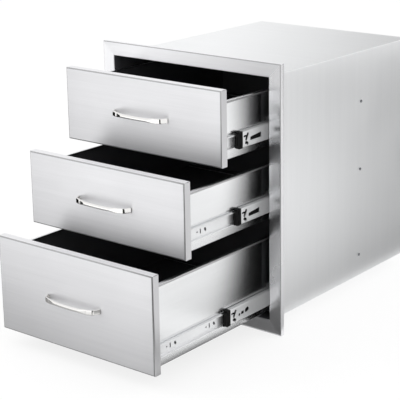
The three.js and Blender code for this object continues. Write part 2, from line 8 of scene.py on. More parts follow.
import bmesh
import bpy
import numpy as np
from bpy.props import FloatProperty, FloatVectorProperty, IntProperty, PointerProperty
from mathutils import Matrix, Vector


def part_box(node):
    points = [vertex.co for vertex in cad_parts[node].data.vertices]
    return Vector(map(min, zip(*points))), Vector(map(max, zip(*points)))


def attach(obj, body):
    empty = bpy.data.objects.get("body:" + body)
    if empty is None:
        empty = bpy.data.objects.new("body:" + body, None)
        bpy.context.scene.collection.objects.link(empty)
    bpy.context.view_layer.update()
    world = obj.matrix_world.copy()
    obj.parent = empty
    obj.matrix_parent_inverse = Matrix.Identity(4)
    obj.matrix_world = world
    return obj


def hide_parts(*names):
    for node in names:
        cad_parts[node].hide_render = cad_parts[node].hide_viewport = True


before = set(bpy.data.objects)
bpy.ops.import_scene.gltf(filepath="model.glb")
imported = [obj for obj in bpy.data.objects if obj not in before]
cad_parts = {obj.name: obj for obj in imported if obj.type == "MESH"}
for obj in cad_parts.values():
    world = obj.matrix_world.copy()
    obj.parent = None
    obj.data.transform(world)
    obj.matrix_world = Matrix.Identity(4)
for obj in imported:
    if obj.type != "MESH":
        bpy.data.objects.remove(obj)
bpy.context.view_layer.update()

bl_info = {
    "name": "Outdoor kitchen drawer unit",
    "version": (1, 0, 0),
    "blender": (4, 5, 0),
    "location": "View3D > Sidebar > Drawer unit",
    "description": "Folded steel, telescopic slides and finishes of a built-in drawer unit",
    "category": "Object",
}

DRAWERS = ("top", "middle", "bottom")
SLIDES = tuple((name, *side) for name in DRAWERS for side in (("left", -1), ("right", 1)))
ALONG_X = (1, 0, 0)
ALONG_Y = (0, 1, 0)
ALONG_Z = (0, 0, 1)

# Room round a seated piece, a cutter's run past the surface it opens, and how far a face may lie
# from a plane and still count as part of it
SEAT_GAP = 0.0003
OVERRUN = 0.005
FLUSH = 0.00002
# Angles in degrees from which an edge stays sharp, on sheet and on round parts
SHEET_EDGE, ROUND_EDGE = 40, 50


def linear(colour):
    """sRGB hex value to linear red, green and blue: each channel through the sRGB curve."""
    srgb = np.array([int(colour[i : i + 2], 16) for i in (1, 3, 5)]) / 255
    return tuple(np.where(srgb <= 0.04045, srgb / 12.92, ((srgb + 0.055) / 1.055) ** 2.4))


def length(name, description, default):
    return FloatProperty(
        name=name,
        description=description,
        default=default,
        min=0.0,
        subtype="DISTANCE",
        unit="LENGTH",
        precision=4,
    )


def colour(name, description, default):
    return FloatVectorProperty(
        name=name,
        description=description,
        default=linear(default),
        min=0.0,
        max=1.0,
        size=3,
        subtype="COLOR",
    )


class DrawerUnitSheet(bpy.types.PropertyGroup):
    """Sheet metal of the cabinet, the fronts and the trays"""

    sheet: length("Sheet", "Thickness of the cabinet, front and tray sheet", 0.001)
    frame_border: length("Frame border", "Width of the face frame around the opening", 0.03)
    frame_hem: length("Frame hem", "Width of the edge folded back behind the face frame", 0.0065)
    frame_bend: length("Frame bend", "Radius of the face frame's folds", 0.002)
    wrap_bend: length("Cabinet bend", "Radius of the folds along the cabinet's upper edges", 0.0013)
    back_bend: length("Back bend", "Radius of the folds around the cabinet's back", 0.0018)
    floor_bend: length("Floor bend", "Radius of the folds along the cabinet's floor", 0.0015)
    front_bend: length("Front bend", "Radius of the folds around a drawer front", 0.0025)
    front_seam: length("Front seam", "Width of the open seam at a drawer front's corners", 0.0009)
    liner_bend: length("Liner bend", "Radius of the folds around a front's inner panel", 0.0018)
    tray_flange: length("Tray flange", "Width of the flange along a tray's upper edge", 0.009)
    tray_flange_bend: length("Tray flange bend", "Radius of the fold under a tray's flange", 0.0035)
    tray_floor_bend: length("Tray floor bend", "Radius of the folds along a tray's floor", 0.0015)
    tray_foot: length("Tray foot", "Depth of the back wall's foot on the tray's floor", 0.02)
    tray_back_drop: length("Tray back drop", "How far a tray's back ends below its flange", 0.01)
    tray_seam: length("Tray seam", "Gap between a tray's back wall and its side walls", 0.0004)
    fold_steps: IntProperty(
        name="Fold steps", description="Straight steps in each fold", default=6, min=2, max=16
    )


class DrawerUnitSlides(bpy.types.PropertyGroup):
    """Three-part telescopic slides"""

    rail_depth: length("Slide depth", "Depth of a closed slide between tray and cabinet", 0.0127)
    outer_sheet: length("Outer rail sheet", "Thickness of the rail on the cabinet", 0.0012)
    outer_reach: length("Outer rail reach", "How far the outer rail's legs stand in", 0.0104)
    middle_sheet: length("Middle rail sheet", "Thickness of the floating rail", 0.0016)
    middle_start: length("Middle rail start", "Distance from the wall to the floating rail", 0.0024)
    middle_reach: length("Middle rail reach", "How far the floating rail's legs stand in", 0.011)
    inner_sheet: length("Inner rail sheet", "Thickness of the rail on the tray", 0.0012)
    inner_reach: length("Inner rail reach", "How far the inner rail's legs stand out", 0.0077)
    race_at: length("Ball line", "Distance from the wall to the centres of the balls", 0.007)
    outer_ball: length("Outer ball", "Radius of the balls on the outer rail", 0.0025)
    inner_ball: length("Inner ball", "Radius of the balls on the inner rail", 0.00165)
    outer_pitch: length("Outer ball pitch", "Spacing of the balls in an outer cage", 0.013)
    inner_pitch: length("Inner ball pitch", "Spacing of the balls in an inner cage", 0.0095)
    cage_end: length("Cage end", "Plain length at each end of a cage", 0.012)


class DrawerUnitHandle(bpy.types.PropertyGroup):
    """Bow handles"""

    span: length("Span", "Length of a handle over its two feet", 0.1424)
    rise: length("Rise", "How far the bar's line stands off the front", 0.022)
    middle_height: length("Bar height", "Height of the bar at its middle", 0.0083)
    end_height: length("Blade height", "Height of the flattened ends", 0.0103)
    middle_thick: length("Bar thickness", "Thickness of the bar at its middle", 0.0065)
    end_thick: length("Blade thickness", "Thickness of the flattened ends", 0.003)
    stud_inset: length("Stud inset", "Distance of a stud from the foot's end", 0.003)
    stud_radius: length("Stud radius", "Radius of the stud through the front", 0.002)
    stud_length: length("Stud length", "How far a stud reaches behind the front's face", 0.007)


class DrawerUnitFinish(bpy.types.PropertyGroup):
    """Colours of the finishes"""

    brushed: colour("Brushed steel", "Brushed stainless sheet of frame and fronts", "#F4F4F6")
    side: colour("Side steel", "Finer brushed sheet of cabinet and trays", "#F3F4F5")
    # The inside colour is painted shade, darkening the insides where shadow falls
    enamel: colour("Inside", "Dark enamel inside the cabinet and the trays", "#525255")
    chrome: colour("Chrome", "Plated handles", "#F4F3F1")
    zinc: colour("Zinc", "Plated rails", "#F0F1F2")
    cage: colour("Cage steel", "Ball cages", "#C4C6C9")
    ball: colour("Ball steel", "Hardened balls", "#E4E5E7")
    plastic: colour("Bumper plastic", "Moulded stops on the floating rails", "#050506")
    rivet: colour("Rivet steel", "Rivets in the cabinet's sides", "#9A9CA0")
    floor: colour("Floor", "Studio floor", "#FFFFFF")


# Surfaces


def ease(value):
    """Smooth step of a value held between 0 and 1: 3 t squared - 2 t cubed."""
    t = np.clip(value, 0, 1)
    return t * t * (3 - 2 * t)


def rounded_line(corners, radii, steps):
    """A line with rounded corners. An arc that touches both legs takes each corner's place:
    hub - left * radius, with the left-hand vector turned in equal steps through the corner's angle.
    Gives the points and the unit vector to the left of the line at each."""
    corners = np.asarray(corners, float)
    legs = np.diff(corners, axis=0)
    legs /= np.linalg.norm(legs, axis=1, keepdims=True)
    lefts = np.stack([-legs[:, 1], legs[:, 0]], 1)
    points, sides = [corners[:1]], [lefts[:1]]
    for i, radius in enumerate(radii):
        before, after = legs[i], legs[i + 1]
        turn = math.atan2(before[0] * after[1] - before[1] * after[0], before @ after)
        sign = math.copysign(1, turn)
        start = corners[i + 1] - before * radius * math.tan(abs(turn) / 2)
        hub = start + lefts[i] * sign * radius
        angle = np.linspace(0, turn, steps + 1)[:, None]
        left = lefts[i] * np.cos(angle) - legs[i] * np.sin(angle)
        points.append(hub - left * sign * radius)
        sides.append(left)
    points.append(corners[-1:])
    sides.append(lefts[-1:])
    return np.concatenate(points), np.concatenate(sides)


def sheet_outline(corners, radii, sheet, steps):
    """Cross-section of a bent sheet: its middle line moved half a sheet to the left, and back again
    moved half a sheet to the right. Point i faces point n - 1 - i across the sheet."""
    points, sides = rounded_line(corners, radii, steps)
    return np.concatenate([points + sides * sheet / 2, (points - sides * sheet / 2)[::-1]])


def grid_quads(rows, columns, rows_closed=False, columns_closed=False):
    """Quads between neighbouring points of a grid, row by row, closed round where asked."""
    r, c = np.indices((rows - (not rows_closed), columns - (not columns_closed)))
    r1, c1 = (r + 1) % rows, (c + 1) % columns
    corners = [r * columns + c, r * columns + c1, r1 * columns + c1, r1 * columns + c]
    return np.stack(corners, -1).reshape(-1, 4)


def loft(rings):
    """Rings of points joined one to the next and closed at both ends by a flat face."""
    m, n = rings.shape[:2]
    faces = grid_quads(m, n, columns_closed=True).tolist()
    faces += [list(range(n)), list(range((m - 1) * n, m * n))]
    return rings.reshape(-1, 3), faces, np.zeros(len(faces), int)


def carried(outline, start, end, axis):
    """Two rings: each point (a, b) of an outline at two stops s along an axis, as (s, a, b) along
    X, (a, s, b) along Y and (a, b, s) along Z."""
    a, b = np.asarray(outline, float).T
    rings = [[np.full_like(a, s), a, b] for s in (start, end)]
    order = {"X": (0, 1, 2), "Y": (1, 0, 2), "Z": (1, 2, 0)}[axis]
    return np.stack([np.stack([ring[i] for i in order], 1) for ring in rings])


def run(outline, start, end, axis):
    """Outline of a sheet carried from start to end along an axis and closed by quads across the
    sheet. Marks: 0 for the sheet's left-hand face, 1 for the other, 2 for its edges and ends."""
    n = len(outline)
    i = np.arange(n // 2 - 1)
    cap = np.stack([i, i + 1, n - 2 - i, n - 1 - i], 1)
    faces = np.concatenate([grid_quads(2, n, columns_closed=True), cap, cap + n])
    marks = np.full(len(faces), 2)
    marks[: n // 2 - 1], marks[n // 2 : n - 1] = 0, 1
    return carried(outline, start, end, axis).reshape(-1, 3), faces.tolist(), marks


def prism(outline, start, end, axis):
    """Plain outline carried from start to end along an axis and closed by two flat faces."""
    return loft(carried(outline, start, end, axis))


def box(low, high):
    """Closed box between two corners."""
    (x0, y0, z0), (x1, y1, z1) = low, high
    return prism([(x0, y0), (x1, y0), (x1, y1), (x0, y1)], z0, z1, "Z")


def mitred(profile, half, low, high):
    """Points of a profile carried round an upright rectangle with mitred corners, and their number
    a corner. Point (p, y) of the profile lies p outside the rectangle at depth y."""
    p, y = np.asarray(profile, float).T
    x = np.stack([-half - p, half + p, half + p, -half - p], 1)
    z = np.stack([low - p, low - p, high + p, high + p], 1)
    points = np.stack([x, np.repeat(y[:, None], 4, 1), z], -1).reshape(-1, 3)
    return points, p.size


def frame_ring(profile, half, low, high):
    """Closed ring: a closed profile carried round the rectangle. Marks number its four legs: even
    for the lower and upper ones, odd for the upright ones."""
    points, n = mitred(profile, half, low, high)
    return points, grid_quads(n, 4, True, True).tolist(), np.tile(np.arange(4), n)


def pan(node, way, bend, s):
    """Plate as large as a CAD node's box, with all four edges folded to the rear (way 1) or to the
    front (way -1): the fold's cross-section carried round the plate, inside first and outside last,
    closed by the plate's two faces. Marks: 0 for the lower and upper folds, 1 for those at the
    sides, 2 for the plate's outside, 3 for the inside of all."""
    low, high = edges(node)
    middle = s.sheet / 2
    corners = [(middle, high[1] - low[1]), (middle, middle), (middle + 3 * bend, middle)]
    points, sides = rounded_line(corners, [bend], s.fold_steps)
    points, sides = points[:-1], sides[:-1] * middle
    profile = np.concatenate([(points + sides)[::-1], points - sides])
    face = low[1] if way > 0 else high[1]
    profile = np.stack([-profile[:, 0], face + way * profile[:, 1]], 1)
    points, n = mitred(profile, high[0], low[2], high[2])
    faces = grid_quads(n, 4, columns_closed=True).tolist()
    faces += [list(range(4)), list(range(4 * n - 4, 4 * n))]
    inner = np.repeat(np.arange(n - 1) < n // 2 - 1, 4)
    marks = np.where(inner, 3, np.tile(np.arange(4), n - 1) % 2)
    return points, faces, np.concatenate([marks, [3, 2]])


def turned(profile, centre, axis, count):
    """Profile of radius and height turned about an axis: centre + height along the axis, plus
    radius * (cos, sin) across it, at equal angles."""
    radius, height = np.asarray(profile, float).T
    angle = np.linspace(0, 2 * math.pi, count, endpoint=False)
    along = np.repeat(height[:, None], count, 1)
    one, other = radius[:, None] * np.cos(angle), radius[:, None] * np.sin(angle)
    columns = {"X": [along, one, other], "Y": [one, along, other]}[axis]
    return loft(np.stack(columns, -1) + np.asarray(centre, float))


def ball(centres, radius):
    """Balls: a cube cut into 3 by 3 squares a side, each point moved straight to the radius."""
    t = np.linspace(-1, 1, 4)
    a, b = np.meshgrid(np.tan(t * math.pi / 4), np.tan(t * math.pi / 4), indexing="ij")
    one = np.ones_like(a)
    sides = [(one, a, b), (-one, b, a), (b, one, a), (a, -one, b), (a, b, one), (b, a, -one)]
    cube = np.concatenate([np.stack(s, -1).reshape(-1, 3) for s in sides])
    quads = np.concatenate([grid_quads(4, 4) + 16 * k for k in range(6)])
    keys, back = np.unique(np.round(cube, 6), axis=0, return_inverse=True)
    quads = back.ravel()[quads]
    unit = keys / np.linalg.norm(keys, axis=1, keepdims=True)
    centres = np.asarray(centres, float)
    points = (centres[:, None] + unit * radius).reshape(-1, 3)
    faces = (np.arange(len(centres))[:, None, None] * len(unit) + quads).reshape(-1, 4)
    return points, faces.tolist(), np.zeros(len(faces), int)


def together(*skins):
    """Several closed surfaces as one, their faces renumbered in turn."""
    points, faces, marks, shift = [], [], [], 0
    for p, f, m in skins:
        points.append(p)
        faces += [[i + shift for i in face] for face in f]
        marks.append(m)
        shift += len(p)
    return np.concatenate(points), faces, np.concatenate(marks)


def marked(skin, mark):
    """Surface whose faces all have one mark."""
    return skin[0], skin[1], np.full(len(skin[1]), mark)


def channel(reach, web, leg):
    """Corners of a channel's middle line: its web at one depth, its legs reaching to another."""
    return [(reach, leg), (web, leg), (web, -leg), (reach, -leg)]


def slot_outline(start, end, radius, steps=10):
    """Long hole with round ends: half a circle round each end, joined by straight sides."""
    (a0, b0), (a1, b1) = start, end
    way = math.atan2(b1 - b0, a1 - a0)
    turn = np.linspace(-math.pi / 2, math.pi / 2, steps)
    far = np.stack([a1 + radius * np.cos(way + turn), b1 + radius * np.sin(way + turn)], 1)
    near = np.stack([a0 - radius * np.cos(way + turn), b0 - radius * np.sin(way + turn)], 1)
    return np.concatenate([far, near])


def round_outline(centre, radius):
    """Round hole, as a long hole of no length."""
    return slot_outline(centre, centre, radius, steps=9)


def slots(table, y, z, share=1.0):
    """Outlines of a table's long holes, each written as start, end and radius, about a point. Share
    scales the radii."""
    return [
        slot_outline((y + a, z + b), (y + c, z + d), radius * share)
        for (a, b), (c, d), radius in table
    ]


def groove(outline, centre, radius):
    """Outline with a round groove: points inside the circle move straight away from its centre's
    height to the circle's edge, height = centre -+ root(radius squared - offset squared)."""
    offset = outline[:, 0] - centre[0]
    rise = outline[:, 1] - centre[1]
    inside = offset**2 + rise**2 < radius**2
    edge = np.sqrt(np.maximum(radius**2 - offset**2, 0))
    height = centre[1] + np.where(rise > 0, edge, -edge)
    return np.stack([outline[:, 0], np.where(inside, height, outline[:, 1])], 1)


def finer(outline, step, along):
    """Outline with extra points at every step along the sides that cross the ball line."""
    ends = np.roll(outline, -1, axis=0)
    offset = np.stack([outline[:, 0], ends[:, 0]]) - along
    reach = np.abs(offset[0] - offset[1])
    split = (offset.prod(axis=0) < 0) & (reach > 3 * step)
    counts = np.where(split, reach / step, 1).astype(int)
    side = np.repeat(np.arange(len(outline)), counts)
    place = np.arange(len(side)) - np.repeat(np.cumsum(counts) - counts, counts)
    share = (place / counts[side])[:, None]
    return outline[side] + (ends - outline)[side] * share


# Pieces


def put_grain(mesh, grains):
    """UV map for the brushing: u runs across the grain and v along it, both in metres, each the
    distance along the face's own plane. A face square to the grain takes the next axis."""
    count = len(mesh.polygons)
    normal, slot, total = np.empty(count * 3), np.empty(count, int), np.empty(count, int)
    mesh.polygons.foreach_get("normal", normal)
    mesh.polygons.foreach_get("material_index", slot)
    mesh.polygons.foreach_get("loop_total", total)
    normal = normal.reshape(-1, 3)
    grain = np.asarray(grains, float)[slot]
    along = grain - normal * (normal * grain).sum(1, keepdims=True)
    size = np.linalg.norm(along, axis=1, keepdims=True)
    other = np.roll(grain, 1, axis=1)
    spare = other - normal * (normal * other).sum(1, keepdims=True)
    along = np.where(size < 0.2, spare, along)
    along /= np.maximum(np.linalg.norm(along, axis=1, keepdims=True), 1e-9)
    across = np.cross(along, normal)
    index, points = np.empty(len(mesh.loops), int), np.empty(len(mesh.vertices) * 3)
    mesh.loops.foreach_get("vertex_index", index)
    mesh.vertices.foreach_get("co", points)
    corner = points.reshape(-1, 3)[index]
    face = np.repeat(np.arange(count), total)
    uv = np.stack([(corner * across[face]).sum(1), (corner * along[face]).sum(1)], 1)
    layer = mesh.uv_layers.new(name="brushing")
    layer.data.foreach_set("uv", uv.astype(np.float32).ravel())


def new_object(name, skin, finishes=()):
    """Closed surface as an object. Its faces take the finishes by their marks."""
    points, faces, marks = skin
    mesh = bpy.data.meshes.new(name)
    mesh.from_pydata(points.tolist(), [], faces)
    for material, _ in finishes:
        mesh.materials.append(material)
    mesh.polygons.foreach_set("material_index", np.asarray(marks, np.int32))
    shell = bmesh.new()
    shell.from_mesh(mesh)
    bmesh.ops.remove_doubles(shell, verts=shell.verts, dist=1e-7)
    bmesh.ops.recalc_face_normals(shell, faces=shell.faces)
    shell.to_mesh(mesh)
    shell.free()
    piece = bpy.data.objects.new(name, mesh)
    bpy.context.scene.collection.objects.link(piece)
    return piece


def discard(piece):
    """Removes an object with its mesh."""
    mesh = piece.data
    bpy.data.objects.remove(piece)
    bpy.data.meshes.remove(mesh)


def cut(piece, cutters, crossing=False):
    """Takes closed shapes out of a piece with one exact Boolean. Crossing says they may overlap."""
    tool = new_object(piece.name + "_cut", together(*cutters))
    change = piece.modifiers.new("cut", "BOOLEAN")
    change.operation = "DIFFERENCE"
    change.solver = "EXACT"
    change.use_self = crossing
    change.object = tool
    graph = bpy.context.evaluated_depsgraph_get()
    result = bpy.data.meshes.new_from_object(piece.evaluated_get(graph), depsgraph=graph)
    piece.modifiers.clear()
    old = piece.data
    piece.data = result
    bpy.data.meshes.remove(old)
    discard(tool)
    if len(result.polygons) < 6:
        raise RuntimeError(f"{piece.name} was lost in its cut")


def add_shapes(piece, skins):
    """Adds closed shapes to a piece's mesh as they are."""
    extra = new_object(piece.name + "_extra", together(*skins))
    shell = bmesh.new()
    shell.from_mesh(piece.data)
    shell.from_mesh(extra.data)
    shell.to_mesh(piece.data)
    shell.free()
    discard(extra)


def dress(
    name, node, skin, finishes, body, slot, cuts=(), extra=(), crossing=False, sharp=SHEET_EDGE
):
    """Makes the piece that dresses a CAD node: a surface less its cuts, with extra shapes, the
    grain of each finish, edges that are sharp from an angle on, and its place in the frame."""
    piece = new_object(name, skin, finishes)
    if cuts:
        cut(piece, cuts, crossing)
    if extra:
        add_shapes(piece, extra)
    mesh = piece.data
    put_grain(mesh, [grain for _, grain in finishes])
    mesh.polygons.foreach_set("use_smooth", np.ones(len(mesh.polygons), bool))
    mesh.set_sharp_from_angle(angle=math.radians(sharp))
    mesh.update()
    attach(piece, body)
    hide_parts(node)


def edges(node):
    """Lowest and highest corner of a CAD node as two arrays."""
    low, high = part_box(node)
    return np.array(low), np.array(high)


def centre(node):
    """Middle of a CAD node's box."""
    low, high = edges(node)
    return (low + high) / 2


def inward(side, depth):
    """X of a point at a depth from the cabinet's wall, where the outer rails seat, on one side."""
    return side * (edges("bottom_outer_rail_right")[1][0] - depth)


def slide_run(outline, side, node):
    """Outline drawn inward from the cabinet's wall, run over a CAD node's length at its height."""
    low, high = edges(node)
    placed = np.stack([inward(side, outline[:, 0]), outline[:, 1] + centre(node)[2]], 1)
    return run(placed, low[1], high[1], "Y")


# Finishes

WHITE = (1, 1, 1, 1)

# Stainless sheet, type 304, brushed in several ways. For each: its colour and the share of it, the
# axes of the scratches, the axis that runs along them on the surface, roughness, how far a
# reflection is drawn out, and the contrast of the scratches
SHEETS = {
    # Belt-brushed with the grain level: an even satin on the drawer fronts
    "level": ("brushed", 1.0, ALONG_X, ALONG_X, 0.42, 0.82, 0.05),
    # Brushed deeper: the face frame's upper and lower rails, a little brighter in their reflections
    "rail": ("brushed", 1.0, ALONG_X, ALONG_X, 0.36, 0.8, 0.05),
    # Grain upright: the frame's stiles, which mirror the drawers in long streaks
    "upright": ("brushed", 1.0, ALONG_Z, ALONG_Z, 0.27, 0.8, 0.07),
    # Grain into the cabinet: floor, back flanges and tray edges
    "deep": ("side", 1.0, ALONG_Y, ALONG_Y, 0.3, 0.7, 0.04),
    # Brushed up the sides and across: soft wide reflections on the cabinet's wrap
    "around": ("side", 1.0, (1, 0, 1), ALONG_Z, 0.34, 0.6, 0.03),
    # Only dressed by hand and a little duller, with painted shade darkening it: the fronts' folded
    # sides
    "edge": ("brushed", 0.78, ALONG_Z, ALONG_Z, 0.3, 0.7, 0.05),
    # Stretched in the fold, so it has lost its brushing, with a painted shade line along each bent
    # edge
    "fold": ("brushed", 0.56, ALONG_X, ALONG_X, 0.45, 0.2, 0.08),
    # Lightly brushed and nearly even: the trays, which mirror the slides
    "fine": ("side", 1.0, ALONG_Y, ALONG_Y, 0.23, 0.25, 0.03),
}
# The real scratches are about 0.1 mm wide; here they are 0.9 mm, as fine as the render shows.
# Scratches: length, width and the noise's detail and roughness. Bands: the same, wider
SCRATCH = (0.12, 0.0009, 2.0, 0.6)
BAND = (0.5, 0.011, 1.0, 0.5)
# Wear: clouds per metre. All clouds: detail, roughness, and the range of their value that is used
WEAR = 7
CLOUD, CLOUD_RANGE = (3.0, 0.55), (0.3, 0.7)
# The range that scratches and bands have together, the scratches' relief as strength and height,
# the strength of a coat's relief, and how far roughness differs either way on steel and coats
STREAK_RANGE = (0.7, 1.3)
SCRATCH_RELIEF, COAT_RELIEF = (0.06, 0.0002), 0.2
STEEL_WEAR, COAT_WEAR = 0.07, 0.15

# The other materials. For each: its colour, metallic, roughness, size of its clouds in metres,
# their contrast, the height of its relief in metres, and its specular level
COATS = {
    # Dark coat, painted shade in the insides, lip, recesses and bores: deep black with a low sheen
    "black_enamel": ("enamel", 0.0, 0.42, 0.05, 0.3, 0.0001, 0.5),
    # Decorative chromium on zinc: mirror-bright with a faint haze from the polishing wheel
    "chrome_plate": ("chrome", 1.0, 0.07, 0.03, 0.03, 0.00001, 0.5),
    # Electroplated zinc, clear passivated, on cold-rolled steel: bright and slightly cloudy
    "bright_zinc": ("zinc", 0.7, 0.34, 0.02, 0.03, 0.0, 0.5),
    # Thin strip, plated and oiled: duller than the rails
    "cage_steel": ("cage", 1.0, 0.4, 0.01, 0.12, 0.00003, 0.5),
    # Hardened and lapped bearing steel: mirror-bright
    "ball_steel": ("ball", 1.0, 0.08, 0.004, 0.05, 0.00001, 0.5),
    # Injection-moulded acetal: black with the mould's fine texture and little shine
    "moulded_acetal": ("plastic", 0.0, 0.6, 0.0015, 0.35, 0.0001, 0.15),
    # Plated steel rivet, dulled where it was set
    "rivet_steel": ("rivet", 1.0, 0.3, 0.003, 0.2, 0.00005, 0.5),
}


def add_node(tree, kind, settings=None, inputs=None, **properties):
    """Adds a node: properties by name, socket values from settings, and links from inputs, both
    keyed by the socket's name or number."""
    node = tree.nodes.new(kind)
    for key, value in properties.items():
        setattr(node, key, value)
    for key, value in (settings or {}).items():
        node.inputs[key].default_value = value
    for key, source in (inputs or {}).items():
        tree.links.new(source, node.inputs[key])
    return node


def maths(tree, operation, one, other):
    """Result of one operation on two numbers, each given or taken from a socket."""
    values, links = {}, {}
    for key, term in enumerate((one, other)):
        (links if isinstance(term, bpy.types.NodeSocket) else values)[key] = term
    return add_node(tree, "ShaderNodeMath", values, links, operation=operation).outputs[0]


def noise(tree, vector, scale, detail, roughness):
    """Cloud-like value of a place, from 0 to 1."""
    settings = {"Scale": scale, "Detail": detail, "Roughness": roughness}
    return add_node(tree, "ShaderNodeTexNoise", settings, {"Vector": vector}).outputs["Fac"]


def spread(tree, value, low, high, start, end):
    """Value moved from the range low to high onto the range start to end."""
    settings = {"From Min": low, "From Max": high, "To Min": start, "To Max": end}
    return add_node(tree, "ShaderNodeMapRange", settings, {"Value": value}).outputs[0]


def wearing(tree, cloud, roughness, share):
    """Roughness that follows a cloud, from a share less to a share more."""
    return spread(tree, cloud, *CLOUD_RANGE, roughness * (1 - share), roughness * (1 + share))


def mixed(tree, share, one, other):
    """Shader that is the one where the share is 0 and the other where it is 1."""
    inputs = {0: share, 1: one.outputs[0], 2: other.outputs[0]}
    return add_node(tree, "ShaderNodeMixShader", inputs=inputs)


def emptied(owner):
    """Node tree of a material or world, with nothing in it."""
    owner.use_nodes = True
    owner.node_tree.nodes.clear()
    return owner.node_tree


def scaled(values, share):
    """Colour with its three channels times a share, and opaque."""
    return tuple(v * share for v in values[:3]) + (1.0,)


def output(tree, shader, kind="Material"):
    """Puts a shader on the output of a material or world."""
    add_node(tree, f"ShaderNodeOutput{kind}", inputs={"Surface": shader.outputs[0]})


def surface(name, metallic):
    """Material with a Principled shader, and the socket of each point's place in metres."""
    material = bpy.data.materials.new(name)
    tree = emptied(material)
    shader = add_node(tree, "ShaderNodeBsdfPrincipled", {"Metallic": metallic})
    output(tree, shader)
    return material, tree, shader, add_node(tree, "ShaderNodeTexCoord").outputs["Object"]


def dress_shader(tree, shader, tint, contrast, shade, rough, relief, strength, height):
    """Colour from the darkened tint to the full one by the shade, roughness, and relief."""
    tints = {6: scaled(tint, 1 - contrast), 7: scaled(tint, 1.0)}
    base = add_node(tree, "ShaderNodeMix", tints, {0: shade}, data_type="RGBA")
    depth = {"Strength": strength, "Distance": height}
    bump = add_node(tree, "ShaderNodeBump", depth, {"Height": relief})
    tree.links.new(base.outputs[2], shader.inputs["Base Color"])
    tree.links.new(rough, shader.inputs["Roughness"])
    tree.links.new(bump.outputs[0], shader.inputs["Normal"])


def brushed_steel(name, tint, axes, roughness, stretch, contrast):
    """Stainless sheet, type 304, brushed with an abrasive belt along one or two axes. The belt
    leaves long fine scratches, so a reflection is drawn out across them and hardly at all along
    them. The shade is the sum of the scratches' noise and the bands' noise."""
    material, tree, shader, place = surface(name, 1.0)
    streaks = []
    for long, wide, detail, fineness in (SCRATCH, BAND):
        scale = tuple(1 / (long if axis else wide) for axis in axes)
        lines = add_node(tree, "ShaderNodeMapping", {"Scale": scale}, {"Vector": place})
        streaks.append(noise(tree, lines.outputs[0], 1.0, detail, fineness))
    worn = noise(tree, place, WEAR, *CLOUD)
    shade = spread(tree, maths(tree, "ADD", *streaks), *STREAK_RANGE, 0.0, 1.0)
    rough = wearing(tree, worn, roughness, STEEL_WEAR)
    dress_shader(tree, shader, tint, contrast, shade, rough, streaks[0], *SCRATCH_RELIEF)
    across = add_node(tree, "ShaderNodeTangent", direction_type="UV_MAP", uv_map="brushing")
    tree.links.new(across.outputs[0], shader.inputs["Tangent"])
    shader.inputs["Anisotropic"].default_value = stretch
    return material


def mottled(name, tint, metallic, roughness, size, contrast, height, specular):
    """Even surface with relief and with clouds of the given size in its shade and roughness."""
    material, tree, shader, place = surface(name, metallic)
    cloud = noise(tree, place, 1 / size, *CLOUD)
    rough = wearing(tree, cloud, roughness, COAT_WEAR)
    dress_shader(tree, shader, tint, contrast, cloud, rough, cloud, COAT_RELIEF, height)
    shader.inputs["Specular IOR Level"].default_value = specular
    return material


def steel(lie):
    """Brushed sheet of that lie, made when it is first asked for, and the way its grain lies."""
    colour_name, share, axes, grain, *values = SHEETS[lie]
    name = f"brushed_304_{lie}"
    tint = scaled(getattr(bpy.context.scene.drawer_unit_finish, colour_name), share)
    made = bpy.data.materials.get(name) or brushed_steel(name, tint, axes, *values)
    return made, grain


def finish(name, grain):
    """Coat of that name, made when it is first asked for, and the way its grain lies."""
    colour_name, *values = COATS[name]
    tint = getattr(bpy.context.scene.drawer_unit_finish, colour_name)
    return bpy.data.materials.get(name) or mottled(name, tint, *values), grain


# How far the corner cuts reach past the hem's edge, and the radius of the rivets' holes
HEM_OVERRUN = 0.002
RIVET_HOLE = 0.0023


class DRAWERUNIT_OT_face_frame(bpy.types.Operator):
    """Folded face frame with its return, hem and inner lip"""

    bl_idname = "drawer_unit.face_frame"
    bl_label = "Face frame"

    def execute(self, context):
        s = context.scene.drawer_unit_sheet
        low, high = edges("face_frame")
        middle, border = s.sheet / 2, s.frame_border
        corners = [
            (middle, high[1]),
            (middle, low[1] + middle),
            (border - middle, low[1] + middle),
            (border - middle, -middle),
            (border - s.frame_hem, -middle),
        ]
        bends = [s.frame_bend, s.frame_bend, s.frame_bend / 2]
        profile = sheet_outline(corners, bends, s.sheet, s.fold_steps)
        half, bottom, top = high[0] - border, low[2] + border, high[2] - border
        points, faces, legs = frame_ring(profile, half, bottom, top)

        # Marks 0 and 1 are the legs' own, 2 the lip, darkened as painted shade, 3 the fold round
        # the outer edge
        after = np.roll(profile, -1, axis=0)
        deep = np.minimum(profile[:, 1], after[:, 1]) > low[1] + s.frame_bend
        lip = np.repeat(deep & (profile[:, 0] < 2 * s.sheet), 4)
        at = (profile + after) / 2 - (border, low[1])
        bent = (at[:, 0] > -s.frame_bend) & (at[:, 1] > FLUSH) & (at[:, 1] < s.frame_bend)
        skin = points, faces, np.where(np.repeat(bent, 4), 3, np.where(lip, 2, legs % 2))

        # The hem is cut away at each corner, where its four strips would run into each other
        near, far = border - s.frame_hem - HEM_OVERRUN, border - s.sheet
        cuts = []
        for side in (-1, 1):
            for edge, way in ((bottom, -1), (top, 1)):
                start = (side * (half + near), -2 * s.sheet, edge + way * near)
                cuts.append(box(start, (side * (half + far), s.sheet, edge + way * far)))
        finishes = [steel("rail"), steel("upright"), finish("black_enamel", ALONG_X), steel("fold")]
        dress("face_frame_sheet", "face_frame", skin, finishes, "cabinet", "frame_steel", cuts)
        return {"FINISHED"}


